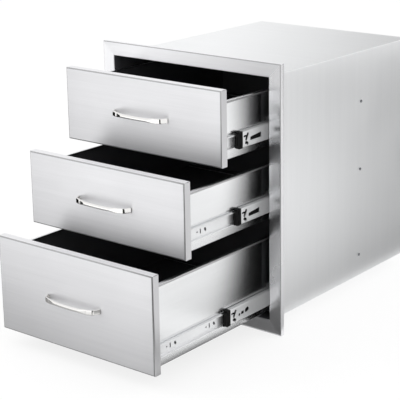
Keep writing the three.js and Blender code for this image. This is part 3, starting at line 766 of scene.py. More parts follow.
class DRAWERUNIT_OT_cabinet(bpy.types.Operator):
    """Cabinet wrap, floor and back, steel outside and inside a dark coat that is painted shade"""

    bl_idname = "drawer_unit.cabinet"
    bl_label = "Cabinet"

    def execute(self, context):
        s = context.scene.drawer_unit_sheet
        middle = s.sheet / 2
        inside, around, deep = finish("black_enamel", ALONG_Y), steel("around"), steel("deep")
        place = ("cabinet", "body_steel")

        low, high = edges("cabinet_wrap")
        side, top = high[0] - middle, high[2] - middle
        corners = [(-side, low[2]), (-side, top), (side, top), (side, low[2])]
        outline = sheet_outline(corners, [s.wrap_bend] * 2, s.sheet, s.fold_steps)
        skin = run(outline, low[1], high[1], "Y")
        reach = high[0] + OVERRUN
        holes = []
        for name in DRAWERS:
            ring = round_outline(centre(f"{name}_side_rivet_right")[1:], RIVET_HOLE)
            holes.append(prism(ring, -reach, reach, "X"))
        finishes = [around, inside, around]
        dress("cabinet_wrap_sheet", "cabinet_wrap", skin, finishes, *place, holes)

        low, high = edges("cabinet_floor")
        side, floor = high[0] - middle, low[2] + middle
        corners = [(-side, high[2]), (-side, floor), (side, floor), (side, high[2])]
        outline = sheet_outline(corners, [s.floor_bend] * 2, s.sheet, s.fold_steps)
        skin = run(outline, low[1], high[1], "Y")
        lip, flange = edges("face_frame")[1][1] + SEAT_GAP, edges("cabinet_back")[0][1] - SEAT_GAP
        reach, upper = high + OVERRUN, low[2] + s.sheet
        front = box((-reach[0], low[1] - OVERRUN, upper), (reach[0], lip, reach[2]))
        rear = box((-reach[0], flange, upper), reach)
        finishes = [inside, deep, deep]
        dress("cabinet_floor_sheet", "cabinet_floor", skin, finishes, *place, [front, rear])

        skin = pan("cabinet_back", -1, s.back_bend, s)
        finishes = [deep, deep, steel("upright"), inside]
        dress("cabinet_back_sheet", "cabinet_back", skin, finishes, *place)
        return {"FINISHED"}


# Half the length of the slit along a front's open corner seam, and the share of the fold's radius
# over which the fold is dull and darker, a painted shade line
SEAM_REACH = 0.003
DULL_SHADE_SHARE = 0.55


class DRAWERUNIT_OT_fronts(bpy.types.Operator):
    """Three drawer fronts, each a folded panel with open corner seams and an inner panel"""

    bl_idname = "drawer_unit.fronts"
    bl_label = "Drawer fronts"

    def execute(self, context):
        s = context.scene.drawer_unit_sheet
        h = context.scene.drawer_unit_handle
        # The fronts' insides and inner panels take the dark coat: painted shade inside the drawer
        dark = finish("black_enamel", ALONG_X)
        finishes = [steel("level"), steel("edge"), steel("level"), dark, steel("fold")]
        for name in DRAWERS:
            body = f"{name}_drawer"
            node = f"{name}_front_panel"
            low, high = edges(node)
            points, faces, marks = pan(node, 1, s.front_bend, s)
            depth = points[np.array(faces[:-2]), 1].mean(axis=1) - low[1]
            bent = (depth > FLUSH) & (depth < s.front_bend * DULL_SHADE_SHARE) & (marks[:-2] < 2)
            marks[:-2][bent] = 4
            cuts = []
            for side in (-1, 1):
                for z, way in ((low[2], -1), (high[2], 1)):
                    corner = np.array([side * high[0], z])
                    along = np.array([side, way]) / math.sqrt(2)
                    cross = np.array([-along[1], along[0]]) * s.front_seam / 2
                    near, far = corner - along * SEAM_REACH, corner + along * SEAM_REACH
                    outline = [near - cross, far - cross, far + cross, near + cross]
                    start = low[1] + s.front_bend + s.sheet
                    cuts.append(prism(outline, start, high[1] + OVERRUN, "Y"))
                at = (side * (h.span / 2 - h.stud_inset), (low[2] + high[2]) / 2)
                ring = round_outline(at, h.stud_radius + SEAT_GAP)
                cuts.append(prism(ring, low[1] - OVERRUN, low[1] + OVERRUN, "Y"))
            skin = points, faces, marks
            dress(f"{name}_front_sheet", node, skin, finishes, body, "front_steel", cuts)

            node = f"{name}_front_liner"
            skin = pan(node, -1, s.liner_bend, s)
            dress(f"{name}_liner_sheet", node, skin, [dark] * 4, body, "liner_steel")
        return {"FINISHED"}


# One punched group of the inner rail, each opening as start, end and radius, from the rail's front
# end and middle height: a hole, an upright slot and a slanted slot. Then the groups' number, the
# distance from each to the next, and the share of the radii that the trays' recesses have
GROUP = (
    ((0.026, 0.0), (0.026, 0.0), 0.0019),
    ((0.036, -0.0036), (0.036, 0.0036), 0.0016),
    ((0.0502, 0.0013), (0.0518, -0.0013), 0.0029),
)
GROUP_COUNT, GROUP_PITCH, RECESS_SHARE = 4, 0.1195, 0.85
# Room between a tray's back wall and its floor, and where the dull fold under the flange begins as
# a share of the bend; the fold's darker colour is a painted shade line
FOOT_GAP = 0.00005
FOLD_FROM = 0.3


def rail_openings(start, level, share):
    """Outlines in Y and Z of an inner rail's punched groups."""
    return [
        outline
        for group in range(GROUP_COUNT)
        for outline in slots(GROUP, start + group * GROUP_PITCH, level, share)
    ]


class DRAWERUNIT_OT_trays(bpy.types.Operator):
    """Three folded trays, brushed outside, with a dark coat of painted shade inside and in recesses
    behind the rails' openings
    """

    bl_idname = "drawer_unit.trays"
    bl_label = "Trays"

    def execute(self, context):
        s = context.scene.drawer_unit_sheet
        middle, fold = s.sheet / 2, s.tray_flange_bend
        finishes = [finish("black_enamel", ALONG_Y), steel("fine"), steel("deep"), steel("fold")]
        for name in DRAWERS:
            node = f"{name}_tray"
            low, high = edges(node)
            half, side = high[0], high[0] - middle
            floor, top = low[2] + middle, high[2] - middle
            corners = [(-side, top), (-side, floor), (side, floor), (side, top)]
            corners = [(s.tray_flange - half, top), *corners, (half - s.tray_flange, top)]
            bends = [fold, s.tray_floor_bend, s.tray_floor_bend, fold]
            outline = sheet_outline(corners, bends, s.sheet, s.fold_steps)
            trough = run(outline, low[1], high[1], "Y")
            under = top - (outline[:, 1] + np.roll(outline[:, 1], -1)) / 2
            marks = trough[2][: len(outline)]
            marks[(marks == 1) & (under > fold * FOLD_FROM) & (under < fold)] = 3

            rear, foot = high[1] - middle, floor + s.sheet + FOOT_GAP
            start, end = (high[1] - s.tray_foot, foot), (rear, high[2] - s.tray_back_drop)
            corners = [start, (rear, foot), end]
            outline = sheet_outline(corners, [s.tray_floor_bend], s.sheet, s.fold_steps)
            reach = half - s.sheet - s.tray_seam
            back = run(outline, -reach, reach, "X")

            # Recesses in the tray's side behind the rail's openings take the dark coat: painted
            # shade in the holes
            rail = f"{name}_inner_rail_right"
            outlines = rail_openings(edges(rail)[0][1], centre(rail)[2], RECESS_SHARE)
            ends = half - middle, half + OVERRUN
            cuts = [prism(o, w * ends[0], w * ends[1], "X") for o in outlines for w in (-1, 1)]
            skin = together(trough, back)
            dress(f"{node}_sheet", node, skin, finishes, f"{name}_drawer", "tray_steel", cuts)
        return {"FINISHED"}


# The bow's line from a foot to next to its middle, as shares of half its span and of its rise, and
# the radius of each of its bends, the foot's first and the middle's last
BOW_LINE = ((0.99, -0.1), (0.99, 0.07), (0.893, 0.64), (0.73, 0.83), (0.5, 0.93), (0.25, 0.985))
BOW_BENDS = (0.001, 0.006, 0.005, 0.016, 0.04, 0.06)
# Shares of the half span between which the bar flattens into a blade, the section's power in the
# bar and how much less it is in the blade, and the numbers of sections and of points in each
BLADE_FROM, BLADE_TO = 0.42, 0.72
BAR_POWER, BLADE_POWER_LESS = 0.8, 0.5
SECTIONS, SECTION_POINTS = 90, 40
# How far a stud reaches into its foot, its chamfer, and its sides
STUD_LAP, STUD_CHAMFER, STUD_SIDES = 0.001, 0.0003, 16


class DRAWERUNIT_OT_handles(bpy.types.Operator):
    """Three bow handles with flattened, curved ends and a stud behind each foot"""

    bl_idname = "drawer_unit.handles"
    bl_label = "Handles"

    def execute(self, context):
        h = context.scene.drawer_unit_handle
        chrome = [finish("chrome_plate", ALONG_X)]
        half, rings = h.span / 2, self.sections(h)
        radius, end = h.stud_radius, h.stud_length
        stud = [(radius, -STUD_LAP), (radius, end - STUD_CHAMFER), (radius - STUD_CHAMFER, end)]
        for name in DRAWERS:
            low, high = edges(f"{name}_front_panel")
            middle = np.array([0, low[1], (low[2] + high[2]) / 2])
            skins = [loft(rings + middle)]
            for side in (-1, 1):
                foot = middle + (side * (half - h.stud_inset), 0, 0)
                skins.append(turned(stud, foot, "Y", STUD_SIDES))
            node = f"{name}_handle"
            place = (f"{name}_drawer", "handle_chrome")
            dress(f"{node}_bow", node, together(*skins), chrome, *place, sharp=ROUND_EDGE)
        return {"FINISHED"}

    def sections(self, h):
        """Rings of the bow about its middle. The line is taken at even distances. The section at
        each is (sign cos |cos|^p * thick, sign sin |sin|^p * tall) at equal angles: p is a little
        under 1 in the bar, nearly an ellipse, and less in the blade, nearly a rectangle."""
        half = h.span / 2
        plan = np.array(BOW_LINE) * (half, -h.rise)
        line = np.concatenate([plan * (-1, 1), [(0, -h.rise)], plan[::-1]])
        path, _ = rounded_line(line, BOW_BENDS + BOW_BENDS[-2::-1], steps=6)
        steps = np.linalg.norm(np.diff(path, axis=0), axis=1)
        gaps = np.concatenate([[0], np.cumsum(steps)])
        even = np.union1d(gaps, np.linspace(0, gaps[-1], SECTIONS))
        even = even[np.concatenate([[True], np.diff(even) > 1e-5])]
        path = np.stack([np.interp(even, gaps, path[:, i]) for i in (0, 1)], 1)
        way = np.gradient(path, axis=0)
        way /= np.linalg.norm(way, axis=1, keepdims=True)
        along = np.abs(path[:, :1]) / half
        blade = ease((along - BLADE_FROM) / (BLADE_TO - BLADE_FROM))
        tall = (h.middle_height + (h.end_height - h.middle_height) * blade) / 2
        thick = (h.middle_thick + (h.end_thick - h.middle_thick) * blade) / 2
        power = BAR_POWER - BLADE_POWER_LESS * blade
        angle = np.linspace(0, 2 * math.pi, SECTION_POINTS, endpoint=False)[None]
        side = np.sign(np.cos(angle)) * np.abs(np.cos(angle)) ** power * thick
        rise = np.sign(np.sin(angle)) * np.abs(np.sin(angle)) ** power * tall
        x = path[:, :1] - way[:, 1:] * side
        y = path[:, 1:] + way[:, :1] * side
        return np.stack([x, np.minimum(y, -FLUSH), rise], -1)


# Folds of the rails, the run and drop of the outer rail's turned-in lip, the balls' play in their
# grooves, the step between points where a rail is grooved, and how far cuts run past its web
OUTER_BENDS = (0.0009, 0.0026, 0.0026, 0.0009)
MIDDLE_BENDS, INNER_BENDS = (0.0023,) * 2, (0.0016,) * 2
LIP_RUN, LIP_DROP = 0.0009, 0.0014
OUTER_PLAY, INNER_PLAY = 0.00025, 0.00015
GROOVE_STEP, WEB_MARGIN = 0.0003, 0.001
# Openings from a rail's front end and middle height, each as start, end and radius. The outer
# rail's are its mounting slots, besides the rivet's hole
RIVET_AT = 0.323
OUTER_SLOTS = tuple(((y, 0.0), (y + 0.006, 0.0), 0.0026) for y in (0.028, 0.094, 0.222, 0.42))
# The middle rail's catch: a fork, its arm and a notch
CATCH = (
    ((0.011, -0.001), (0.0165, 0.0088), 0.0033),
    ((0.0045, 0.006), (0.0105, 0.006), 0.0021),
    ((0.0105, -0.0078), (0.0155, -0.0102), 0.0034),
)
# Its lever's slot, open: corners from the middle of the lower edge round to it again, and the bend
LEVER_SLOT = (0.043, -0.006), (0.0615, -0.006), (0.0615, 0.005), (0.0245, 0.0012), (0.0245, -0.006)
LEVER_SLOT_BEND = 0.0015
# The parts of the slot that stay open where the lever stands in it
LEVER_ENDS = (
    ((0.029, -0.003), (0.03, -0.003), 0.003),
    ((0.0385, -0.0015), (0.0415, -0.0015), 0.0036),
    ((0.0525, 0.0), (0.0565, 0.001), 0.0048),
)


class DRAWERUNIT_OT_rails(bpy.types.Operator):
    """Outer, middle and inner rail of all six telescopic slides"""

    bl_idname = "drawer_unit.rails"
    bl_label = "Slide rails"

    def execute(self, context):
        s = context.scene.drawer_unit_slides
        steps = context.scene.drawer_unit_sheet.fold_steps
        zinc = [finish("bright_zinc", ALONG_Y)] * 3
        boxes = [edges(f"bottom_{part}_rail_right") for part in ("outer", "middle", "inner")]
        outer_half, middle_half, inner_half = ((high[2] - low[2]) / 2 for low, high in boxes)
        outer_line = (outer_half - s.outer_sheet + middle_half) / 2, s.outer_ball + OUTER_PLAY
        inner_line = (middle_half - s.middle_sheet + inner_half) / 2, s.inner_ball + INNER_PLAY

        leg = outer_half - s.outer_sheet / 2
        lip, drop = s.outer_reach, leg - LIP_DROP
        corners = channel(lip - LIP_RUN, s.outer_sheet / 2, leg)
        corners = [(lip, drop), *corners, (lip, -drop)]
        outer = sheet_outline(corners, OUTER_BENDS, s.outer_sheet, steps)
        web, leg = s.middle_start + s.middle_sheet / 2, middle_half - s.middle_sheet / 2
        middle = channel(s.middle_reach, web, leg)
        middle = sheet_outline(middle, MIDDLE_BENDS, s.middle_sheet, steps)
        web, leg = s.rail_depth - s.inner_sheet / 2, inner_half - s.inner_sheet / 2
        inner = channel(s.rail_depth - s.inner_reach, web, leg)
        inner = sheet_outline(inner, INNER_BENDS, s.inner_sheet, steps)
        outer = self.grooved(outer, s.race_at, outer_line)
        middle = self.grooved(middle, s.race_at, outer_line, inner_line)
        inner = self.grooved(inner, s.race_at, inner_line)

        # Each rail's body, its outline and the depths between which its web is cut
        rear, front = s.middle_start + s.middle_sheet, s.rail_depth - s.inner_sheet
        parts = {
            "outer": ("cabinet", outer, -WEB_MARGIN, s.outer_sheet + WEB_MARGIN),
            "middle": ("{}_middle_rails", middle, s.middle_start - WEB_MARGIN, rear + WEB_MARGIN),
            "inner": ("{}_drawer", inner, front - WEB_MARGIN, s.rail_depth + WEB_MARGIN),
        }
        for name, label, side in SLIDES:
            for part, (body, outline, near, far) in parts.items():
                node = f"{name}_{part}_rail_{label}"
                skin = slide_run(outline, side, node)
                near, far = inward(side, near), inward(side, far)
                outlines = self.openings(name, part, edges(node)[0][1], centre(node)[2])
                cuts = [prism(outline, near, far, "X") for outline in outlines]
                place = (body.format(name), "rail_zinc")
                crossing = part == "middle"
                dress(f"{node}_sheet", node, skin, zinc, *place, cuts, crossing=crossing)
        return {"FINISHED"}

    def grooved(self, outline, at, *lines):
        """Outline with a round groove for each line of balls, above and below."""
        outline = finer(outline, GROOVE_STEP, at)
        if len(outline) % 2:
            raise RuntimeError("a rail's outline lost the match of its two faces")
        for height, radius in lines:
            for way in (-1, 1):
                outline = groove(outline, (at, way * height), radius)
        return outline

    def openings(self, name, part, start, level):
        """Outlines that are punched out of one rail's web. Where the lever stands in its slot, as
        in the bottom drawer, only parts of the slot stay open."""
        if part == "inner":
            return rail_openings(start, level, 1.0)
        if part == "outer":
            hole = round_outline((start + RIVET_AT, level), RIVET_HOLE)
            return [hole, *slots(OUTER_SLOTS, start, level)]
        if name == "bottom":
            return slots(CATCH + LEVER_ENDS, start, level)
        corners = np.array(LEVER_SLOT + LEVER_SLOT[:1]) + (start, level)
        slot = rounded_line(corners, [LEVER_SLOT_BEND] * 4, steps=5)[0][:-1]
        return [*slots(CATCH, start, level), slot]


# Web's distance from the wall and thickness of each cage, and the reach and folds of both
CAGE_STRIPS = {"outer": (0.00155, 0.0005), "inner": (0.0043, 0.0004)}
CAGE_REACH, CAGE_BEND = 0.0095, 0.0007


class DRAWERUNIT_OT_cages(bpy.types.Operator):
    """Ball cages of all six slides, each with two full rows of balls"""

    bl_idname = "drawer_unit.cages"
    bl_label = "Ball cages"

    def execute(self, context):
        s = context.scene.drawer_unit_slides
        finishes = [finish("cage_steel", ALONG_Y), finish("ball_steel", ALONG_Y)]
        balls = {"outer": (s.outer_ball, s.outer_pitch), "inner": (s.inner_ball, s.inner_pitch)}
        for name, label, side in SLIDES:
            for part, (start, sheet) in CAGE_STRIPS.items():
                radius, pitch = balls[part]
                node = f"{name}_{part}_cage_{label}"
                low, high = edges(node)
                line = (high[2] - low[2]) / 2 - radius
                corners = channel(CAGE_REACH, start + sheet / 2, line)
                outline = sheet_outline(corners, [CAGE_BEND] * 2, sheet, steps=3)
                strip = marked(slide_run(outline, side, node), 0)
                count = int((high[1] - low[1] - 2 * s.cage_end) / pitch) + 1
                _, middle, level = centre(node)
                y = middle + (np.arange(count) - (count - 1) / 2) * pitch
                x = np.full(count, inward(side, s.race_at))
                rows = [np.stack([x, y, np.full(count, level + z)], 1) for z in (-line, line)]
                skin = together(strip, marked(ball(np.concatenate(rows), radius), 1))
                place = (f"{name}_{part}_cages", "cage_steel")
                dress(f"{node}_strip", node, skin, finishes, *place, sharp=ROUND_EDGE)
        return {"FINISHED"}


# Side of a bumper from its front end: its length, where its nose ends and its body begins, how far
# the nose stands below the body, the radii of its upper corners, its web and the walls beside it
BUMPER_LENGTH, NOSE_END, BODY_START, NOSE_DROP = 0.022, 0.0095, 0.0105, 0.0036
BUMPER_BENDS = (0.0025, 0.0006, 0.0009, 0.0012)
BUMPER_WEB, BUMPER_WALL = 0.0022, 0.0039
# Grooves in the bumper's web, each as start, end and radius, and their depth
BUMPER_GROOVES = (
    ((0.004, -0.008), (0.004, 0.008), 0.0011),
    ((0.0135, 0.007), (0.0135, 0.012), 0.0011),
    ((0.0135, -0.012), (0.0135, -0.007), 0.0011),
)
GROOVE_DEPTH = 0.0009
# Tongues that hold it in the rail: distance from the wall, start, and lower and upper face
TONGUE_AT, TONGUE_START, TONGUE_FACES = 0.0061, 0.0215, (0.0001, 0.0019)
# Release lever: its corners behind the rail's front end, its front end behind the bumper's, the
# half height there, its folds, and its two faces' distances behind the rail's plate
LEVER_LINE = ((0.03, -0.0115), (0.045, -0.0075), (0.066, -0.0075), (0.066, 0.0075), (0.045, 0.0095))
LEVER_START, LEVER_HALF, LEVER_BEND = 0.015, 0.0115, 0.001
LEVER_FACES = (0.00003, 0.0002)


class DRAWERUNIT_OT_bumpers(bpy.types.Operator):
    """Moulded stop on the front end of each middle rail, with the catch's release lever"""

    bl_idname = "drawer_unit.bumpers"
    bl_label = "Bumpers"

    def execute(self, context):
        s = context.scene.drawer_unit_slides
        acetal = [finish("moulded_acetal", ALONG_Y)]
        for name, label, side in SLIDES:
            node = f"{name}_rail_bumper_{label}"
            low, high = edges(node)
            y, level, tall = low[1], centre(node)[2], (high[2] - low[2]) / 2
            nose, inside = tall - NOSE_DROP, tall - BUMPER_WALL
            upper = [(0, 0), (0, nose), (NOSE_END, nose), (BODY_START, tall), (BUMPER_LENGTH, tall)]
            upper = np.array(upper)
            corners = np.concatenate([upper, upper[::-1] * (1, -1)]) + (y, level)
            outline = rounded_line(corners, BUMPER_BENDS + BUMPER_BENDS[::-1], steps=4)[0]
            wall, reach = s.middle_start, s.middle_reach
            skin = prism(outline[:-1], inward(side, wall), inward(side, reach), "X")

            web, past = inward(side, wall + BUMPER_WEB), inward(side, reach + OVERRUN)
            past_end = y + BUMPER_LENGTH + OVERRUN
            cuts = [box((web, y - OVERRUN, level - inside), (past, past_end, level + inside))]
            start, end = inward(side, wall - OVERRUN), inward(side, wall + GROOVE_DEPTH)
            cuts += [prism(o, start, end, "X") for o in slots(BUMPER_GROOVES, y, level)]

            extra = []
            for way in (-1, 1):
                z = [level + way * (inside + face) for face in TONGUE_FACES]
                start = (inward(side, TONGUE_AT), y + TONGUE_START, z[0])
                extra.append(box(start, (inward(side, reach), high[1], z[1])))
            extra.append(self.lever(s, side, y, f"{name}_middle_rail_{label}"))
            place = (f"{name}_middle_rails", "bumper_plastic")
            dress(f"{node}_moulding", node, skin, acetal, *place, cuts, extra)
        return {"FINISHED"}

    def lever(self, s, side, bumper, rail):
        """Release lever: a thin leaf that lies behind the rail's plate and fills its openings from
        within, clear of the cage that passes it."""
        y, z = edges(rail)[0][1], centre(rail)[2]
        front = bumper + LEVER_START
        line = [(y + a, z + b) for a, b in LEVER_LINE]
        corners = [(front, z), (front, z - LEVER_HALF), *line, (front, z + LEVER_HALF), (front, z)]
        outline = rounded_line(corners, [LEVER_BEND] * 7, steps=3)[0][:-1]
        plate = s.middle_start + s.middle_sheet
        return prism(outline, *(inward(side, plate + face) for face in LEVER_FACES), "X")


# Half section of a rivet, as radius and distance out from the head's top: the shank with the head's
# underside, the middle and half axes of the rolled rim, and the start of the bore
SHANK_RADIUS, HEAD_RADIUS, HEAD_UNDER = 0.002, 0.0036, -0.0012
RIM_MIDDLE, RIM_HALF = np.array([0.0027, -0.0011]), np.array([0.0009, 0.001])
BORE = ((0.0016, -0.0016), (0.0015, -0.003))
RIM_POINTS, RIVET_SIDES = 9, 20


class DRAWERUNIT_OT_rivets(bpy.types.Operator):
    """Tubular rivets that hold the outer rails, with their rolled heads outside the cabinet"""

    bl_idname = "drawer_unit.rivets"
    bl_label = "Rivets"

    def execute(self, context):
        finishes = [finish("rivet_steel", ALONG_Y), finish("black_enamel", ALONG_Y)]
        t = np.linspace(0, math.pi, RIM_POINTS)
        rim = RIM_MIDDLE + RIM_HALF * np.stack([np.cos(t), np.sin(t)], 1)
        for name, label, side in SLIDES:
            node = f"{name}_side_rivet_{label}"
            low, high = edges(node)
            _, y, z = centre(node)
            tip = low[0] - high[0]
            shank = [(SHANK_RADIUS, tip), (SHANK_RADIUS, HEAD_UNDER), (HEAD_RADIUS, HEAD_UNDER)]
            profile = np.concatenate([shank, rim, BORE]) * (1, side)
            head = high[0] if side > 0 else low[0]
            points, faces, marks = turned(profile, (head, y, z), "X", RIVET_SIDES)
            # The bore and its end take the dark coat: painted shade in the rivet's hollow
            marks[-1] = 1
            marks[-RIVET_SIDES - 2 : -2] = 1
            skin = points, faces, marks
            place = ("cabinet", "rivet_steel")
            dress(f"{node}_head", node, skin, finishes, *place, sharp=ROUND_EDGE)
        return {"FINISHED"}


# Camera place and turn, its lens and its sideways and upward shift
CAMERA_PLACE = (1.72728, -2.07908, 1.05355)
CAMERA_YAW, CAMERA_PITCH, CAMERA_ROLL = -37.01, -14.86, -0.39
CAMERA_LENS = 117.52
CAMERA_SHIFT = (-0.1318, -0.1257)
# Soft lamps: name, place, target, size and power
LAMPS = (
    ("window_left", (-2.2, -1.6, 2.6), (0.0, 0.0, 0.2), 2.4, 26),
    ("window_right", (2.6, 1.6, 2.4), (0.0, 0.2, 0.2), 2.0, 14),
)
# Half the floor's side, the share of it that shines for the rays that see it, the height of the
# cards over it, and the points along a floor card's side
FLOOR_REACH, FLOOR_GLOW, CARD_RISE, CARD_POINTS = 14.0, 0.8, 0.0015, 40


class DRAWERUNIT_OT_stage(bpy.types.Operator):
    """Camera, pale floor, soft lamps, and the toned cards that the steel reflects"""

    bl_idname = "drawer_unit.stage"
    bl_label = "Stage"

    def execute(self, context):
        self.camera(context)
        self.world(context)
        self.floor(context)
        for lamp in LAMPS:
            self.lamp(*lamp)
        self.card("card_front", (-2.6, -3.2), (0.26, -0.014), self.front_tone)
        self.card("card_right", (0.262, -3.2), (3.4, -0.014), self.right_tone)
        self.card("card_side", (0.262, -0.012), (3.4, 4.2), self.side_tone)
        self.card("card_left", (-3.0, -0.012), (-0.262, 1.6), self.left_tone)
        self.rear_card()
        self.flag()
        self.reflector()
        self.handle_flag()
        return {"FINISHED"}

    def front_tone(self, x, y):
        """Tone of the floor in front: dark under the drawers, brighter with the distance and to the
        right, with one dark patch far to the left."""
        far = ease((-y - 0.45) / 0.5)
        near = 1 - ease((-y - 0.8) / 0.4)
        tone = 0.33 + 0.91 * far + 0.35 * np.clip(x + 0.35, -0.3, 0.3) * near
        tone = 0.11 + (tone - 0.11) * ease((-y - 0.2) / 0.25)
        angle = np.arctan2(-y - 0.3, -(x + 0.06))
        patch = (1 - ease((angle - 0.32) / 0.12)) * ease((-x - 0.6) / 0.3)
        return np.clip(tone * (1 - 0.97 * patch), 0, 1.24)

    def right_tone(self, x, y):
        """Tone of the floor to the right in front: a dark wedge that opens from the frame's foot,
        paler further out, and the rest white but a little dimmer near the foot."""
        reach = np.hypot(x - 0.2, y)
        angle = np.arctan2(x - 0.2, -y)
        wedge = ease((angle - 0.38) / 0.14) * ease((-y - 0.12) / 0.2)
        wedge = wedge * (1 - ease((angle - 0.9) / 0.12))
        dark = 0.02 + 1.1 * ease((reach - 0.85) / 0.9)
        plain = 1.0 - 0.1 * (1 - ease((reach - 0.45) / 0.5)) * ease((-y - 0.12) / 0.2)
        return plain + (dark - plain) * wedge

    def side_tone(self, x, y):
        """Tone of the floor beside the cabinet. Its side mirrors a point of the floor at the height
        (x - 0.212) / 2.2 and the depth y - 1.2 (x - 0.212). The tone grows with the height and
        falls with the depth. It is held between 0.2 and 1.7, or 0.92 in front of the cabinet."""
        height = (x - 0.212) / 2.2
        depth = y - 1.2 * (x - 0.212)
        rise = ease(height / 0.5)
        fall = (0.06 + 2.1 * rise) * np.maximum(depth, -0.1) + 0.16 * ease((depth - 0.1) / 0.4)
        tone = 0.44 + 0.18 * ease(height / 0.1) + 1.1 * rise - fall
        return np.clip(tone, 0.2, 1.7 - 0.78 * ease(-depth / 0.08))

    def left_tone(self, x, y):
        """Tone of the floor to the left: white, with a dark patch to the left and behind."""
        angle = np.arctan2(y + 0.1, -(x + 0.06))
        return 1 - 0.97 * ease((angle + 0.02) / 0.08)

    def stand(self, name, data, right, up, back, place):
        """Puts a camera or lamp at its place, turned by its three axes."""
        holder = bpy.data.objects.new(name, data)
        turn = np.eye(4)
        turn[:3] = np.stack([right, up, back, place], 1)
        holder.matrix_world = Matrix(turn.tolist())
        bpy.context.scene.collection.objects.link(holder)
        return holder

    def camera(self, context):
        """Camera from its yaw, pitch and roll: forward is (sin yaw cos pitch, cos yaw cos pitch,
        sin pitch), right is level, and both right and up are turned by the roll."""
        yaw, pitch, roll = (math.radians(a) for a in (CAMERA_YAW, CAMERA_PITCH, CAMERA_ROLL))
        ahead = math.cos(pitch)
        forward = np.array([math.sin(yaw) * ahead, math.cos(yaw) * ahead, math.sin(pitch)])
        level = np.array([math.cos(yaw), -math.sin(yaw), 0.0])
        upright = np.cross(level, forward)
        right = math.cos(roll) * level + math.sin(roll) * upright
        up = -math.sin(roll) * level + math.cos(roll) * upright
        lens = bpy.data.cameras.new("camera")
        lens.sensor_width = 36
        lens.lens = CAMERA_LENS
        lens.shift_x, lens.shift_y = CAMERA_SHIFT
        lens.clip_end = 100
        context.scene.camera = self.stand("camera", lens, right, up, -forward, CAMERA_PLACE)

    def lamp(self, name, place, target, size, power):
        """Square soft lamp that faces its target."""
        light = bpy.data.lights.new(name, "AREA")
        light.shape = "SQUARE"
        light.size = size
        light.energy = power
        back = np.subtract(place, target)
        back = back / np.linalg.norm(back)
        right = np.cross((0, 0, 1), back)
        right /= np.linalg.norm(right)
        holder = self.stand(name, light, right, np.cross(back, right), back, place)
        holder.visible_glossy = False

    def world(self, context):
        """Even white surroundings, seen by the camera and by the metal alike."""
        context.scene.view_settings.view_transform = "Standard"
        world = bpy.data.worlds.new("white_surroundings")
        context.scene.world = world
        tree = emptied(world)
        plain = add_node(tree, "ShaderNodeBackground", {"Color": WHITE, "Strength": 1.0})
        output(tree, plain, "World")

    def floor(self, context):
        """Painted board floor, level with the frame's lower edge. A share of it is even white for
        the camera and for glossy and transmission rays, and the rest takes the object's shadow."""
        x, y = np.meshgrid([-FLOOR_REACH, FLOOR_REACH], [-FLOOR_REACH, FLOOR_REACH])
        _, tree = self.standing("floor", x, y, edges("face_frame")[0][2], "painted_floor")
        rays = add_node(tree, "ShaderNodeLightPath").outputs
        seen = maths(tree, "MAXIMUM", rays["Is Camera Ray"], rays["Is Glossy Ray"])
        seen = maths(tree, "MAXIMUM", seen, rays["Is Transmission Ray"])
        share = maths(tree, "MULTIPLY", seen, FLOOR_GLOW)
        tint = scaled(context.scene.drawer_unit_finish.floor, 1.0)
        paint = add_node(tree, "ShaderNodeBsdfDiffuse", {"Color": tint})
        white = add_node(tree, "ShaderNodeEmission", {"Color": WHITE, "Strength": 1.0})
        output(tree, mixed(tree, share, paint, white))

    def standing(self, name, x, y, z, coat):
        """Surface on a grid of places that isn't part of the object, and its coat's empty nodes."""
        grid = np.stack(np.broadcast_arrays(x, y, z), -1)
        mesh = bpy.data.meshes.new(name)
        mesh.from_pydata(grid.reshape(-1, 3).tolist(), [], grid_quads(*grid.shape[:2]).tolist())
        screen = bpy.data.objects.new(name, mesh)
        bpy.context.scene.collection.objects.link(screen)
        material = bpy.data.materials.new(coat)
        mesh.materials.append(material)
        return screen, emptied(material)

    def card(self, name, low, high, tone):
        """Toned card just above the floor. Its tone is worked out at each point of a grid."""
        along = [np.linspace(low[i], high[i], CARD_POINTS) for i in (0, 1)]
        x, y = np.meshgrid(*along, indexing="ij")
        self.toned(name, x, y, edges("face_frame")[0][2] + CARD_RISE, tone(x, y))

    def rear_card(self):
        """Toned card standing behind the left, which the cabinet's top reflects. It is darker to
        the right: tone = 1.04 - 0.72 t, t from the middle of the card to its right edge."""
        t, z = np.meshgrid(np.linspace(0, 1, 30), [0.4, 3.0], indexing="ij")
        side = -0.5 + 1.9 * t
        tone = 1.04 - 0.72 * np.clip((side - 0.05) / 1.2, 0, 1)
        self.toned("card_rear", -1.15 + 0.767 * side, 1.38 + 0.64 * side, z, tone)

    def flag(self):
        """Upright dark screen to the right of the frame, level with its face, seen only from in
        front. It thins out to the right and upward: density = 1 - smooth step of the distance u
        from the tray's side, about a middle that draws in with the height."""
        low, high = edges("face_frame")
        rise = np.linspace(low[2] + 0.01, high[2] + 0.1, 30)
        u, z = np.meshgrid(np.linspace(0.34, 0.008, 40), rise, indexing="ij")
        middle = 0.073 + 0.042 * (np.clip(0.4 - z, 0, 0.4) / 0.32) ** 1.5
        density = 1 - ease((u - middle) / 0.12 + 0.5)
        x = edges("top_tray")[1][0] + 0.836 * u
        self.toned("card_flag", x, low[1] - 0.0008, z, density, one_sided=True, screen=True)

    def reflector(self):
        """White strip that stands behind the upper front and faces the frame's upper rail. Its tone
        falls evenly to the right."""
        low, high = edges("face_frame")
        level = [high[2] - 0.1, high[2] + 0.15]
        x, z = np.meshgrid(np.linspace(low[0] - 0.12, high[0], 20), level, indexing="ij")
        tone = 0.7 + 0.42 * np.clip((0.18 - x) / 0.4, 0, 1)
        self.toned("card_reflector", x, low[1] - 0.09, z, tone, one_sided=True)

    def handle_flag(self):
        """Upright dark screen to the right and in front, which the bends of the handles reflect."""
        x, z = np.meshgrid([0.12, 0.55], [0.0, 0.5], indexing="ij")
        self.toned("card_handles", x, -0.6, z, np.full_like(x, 0.02), one_sided=True)

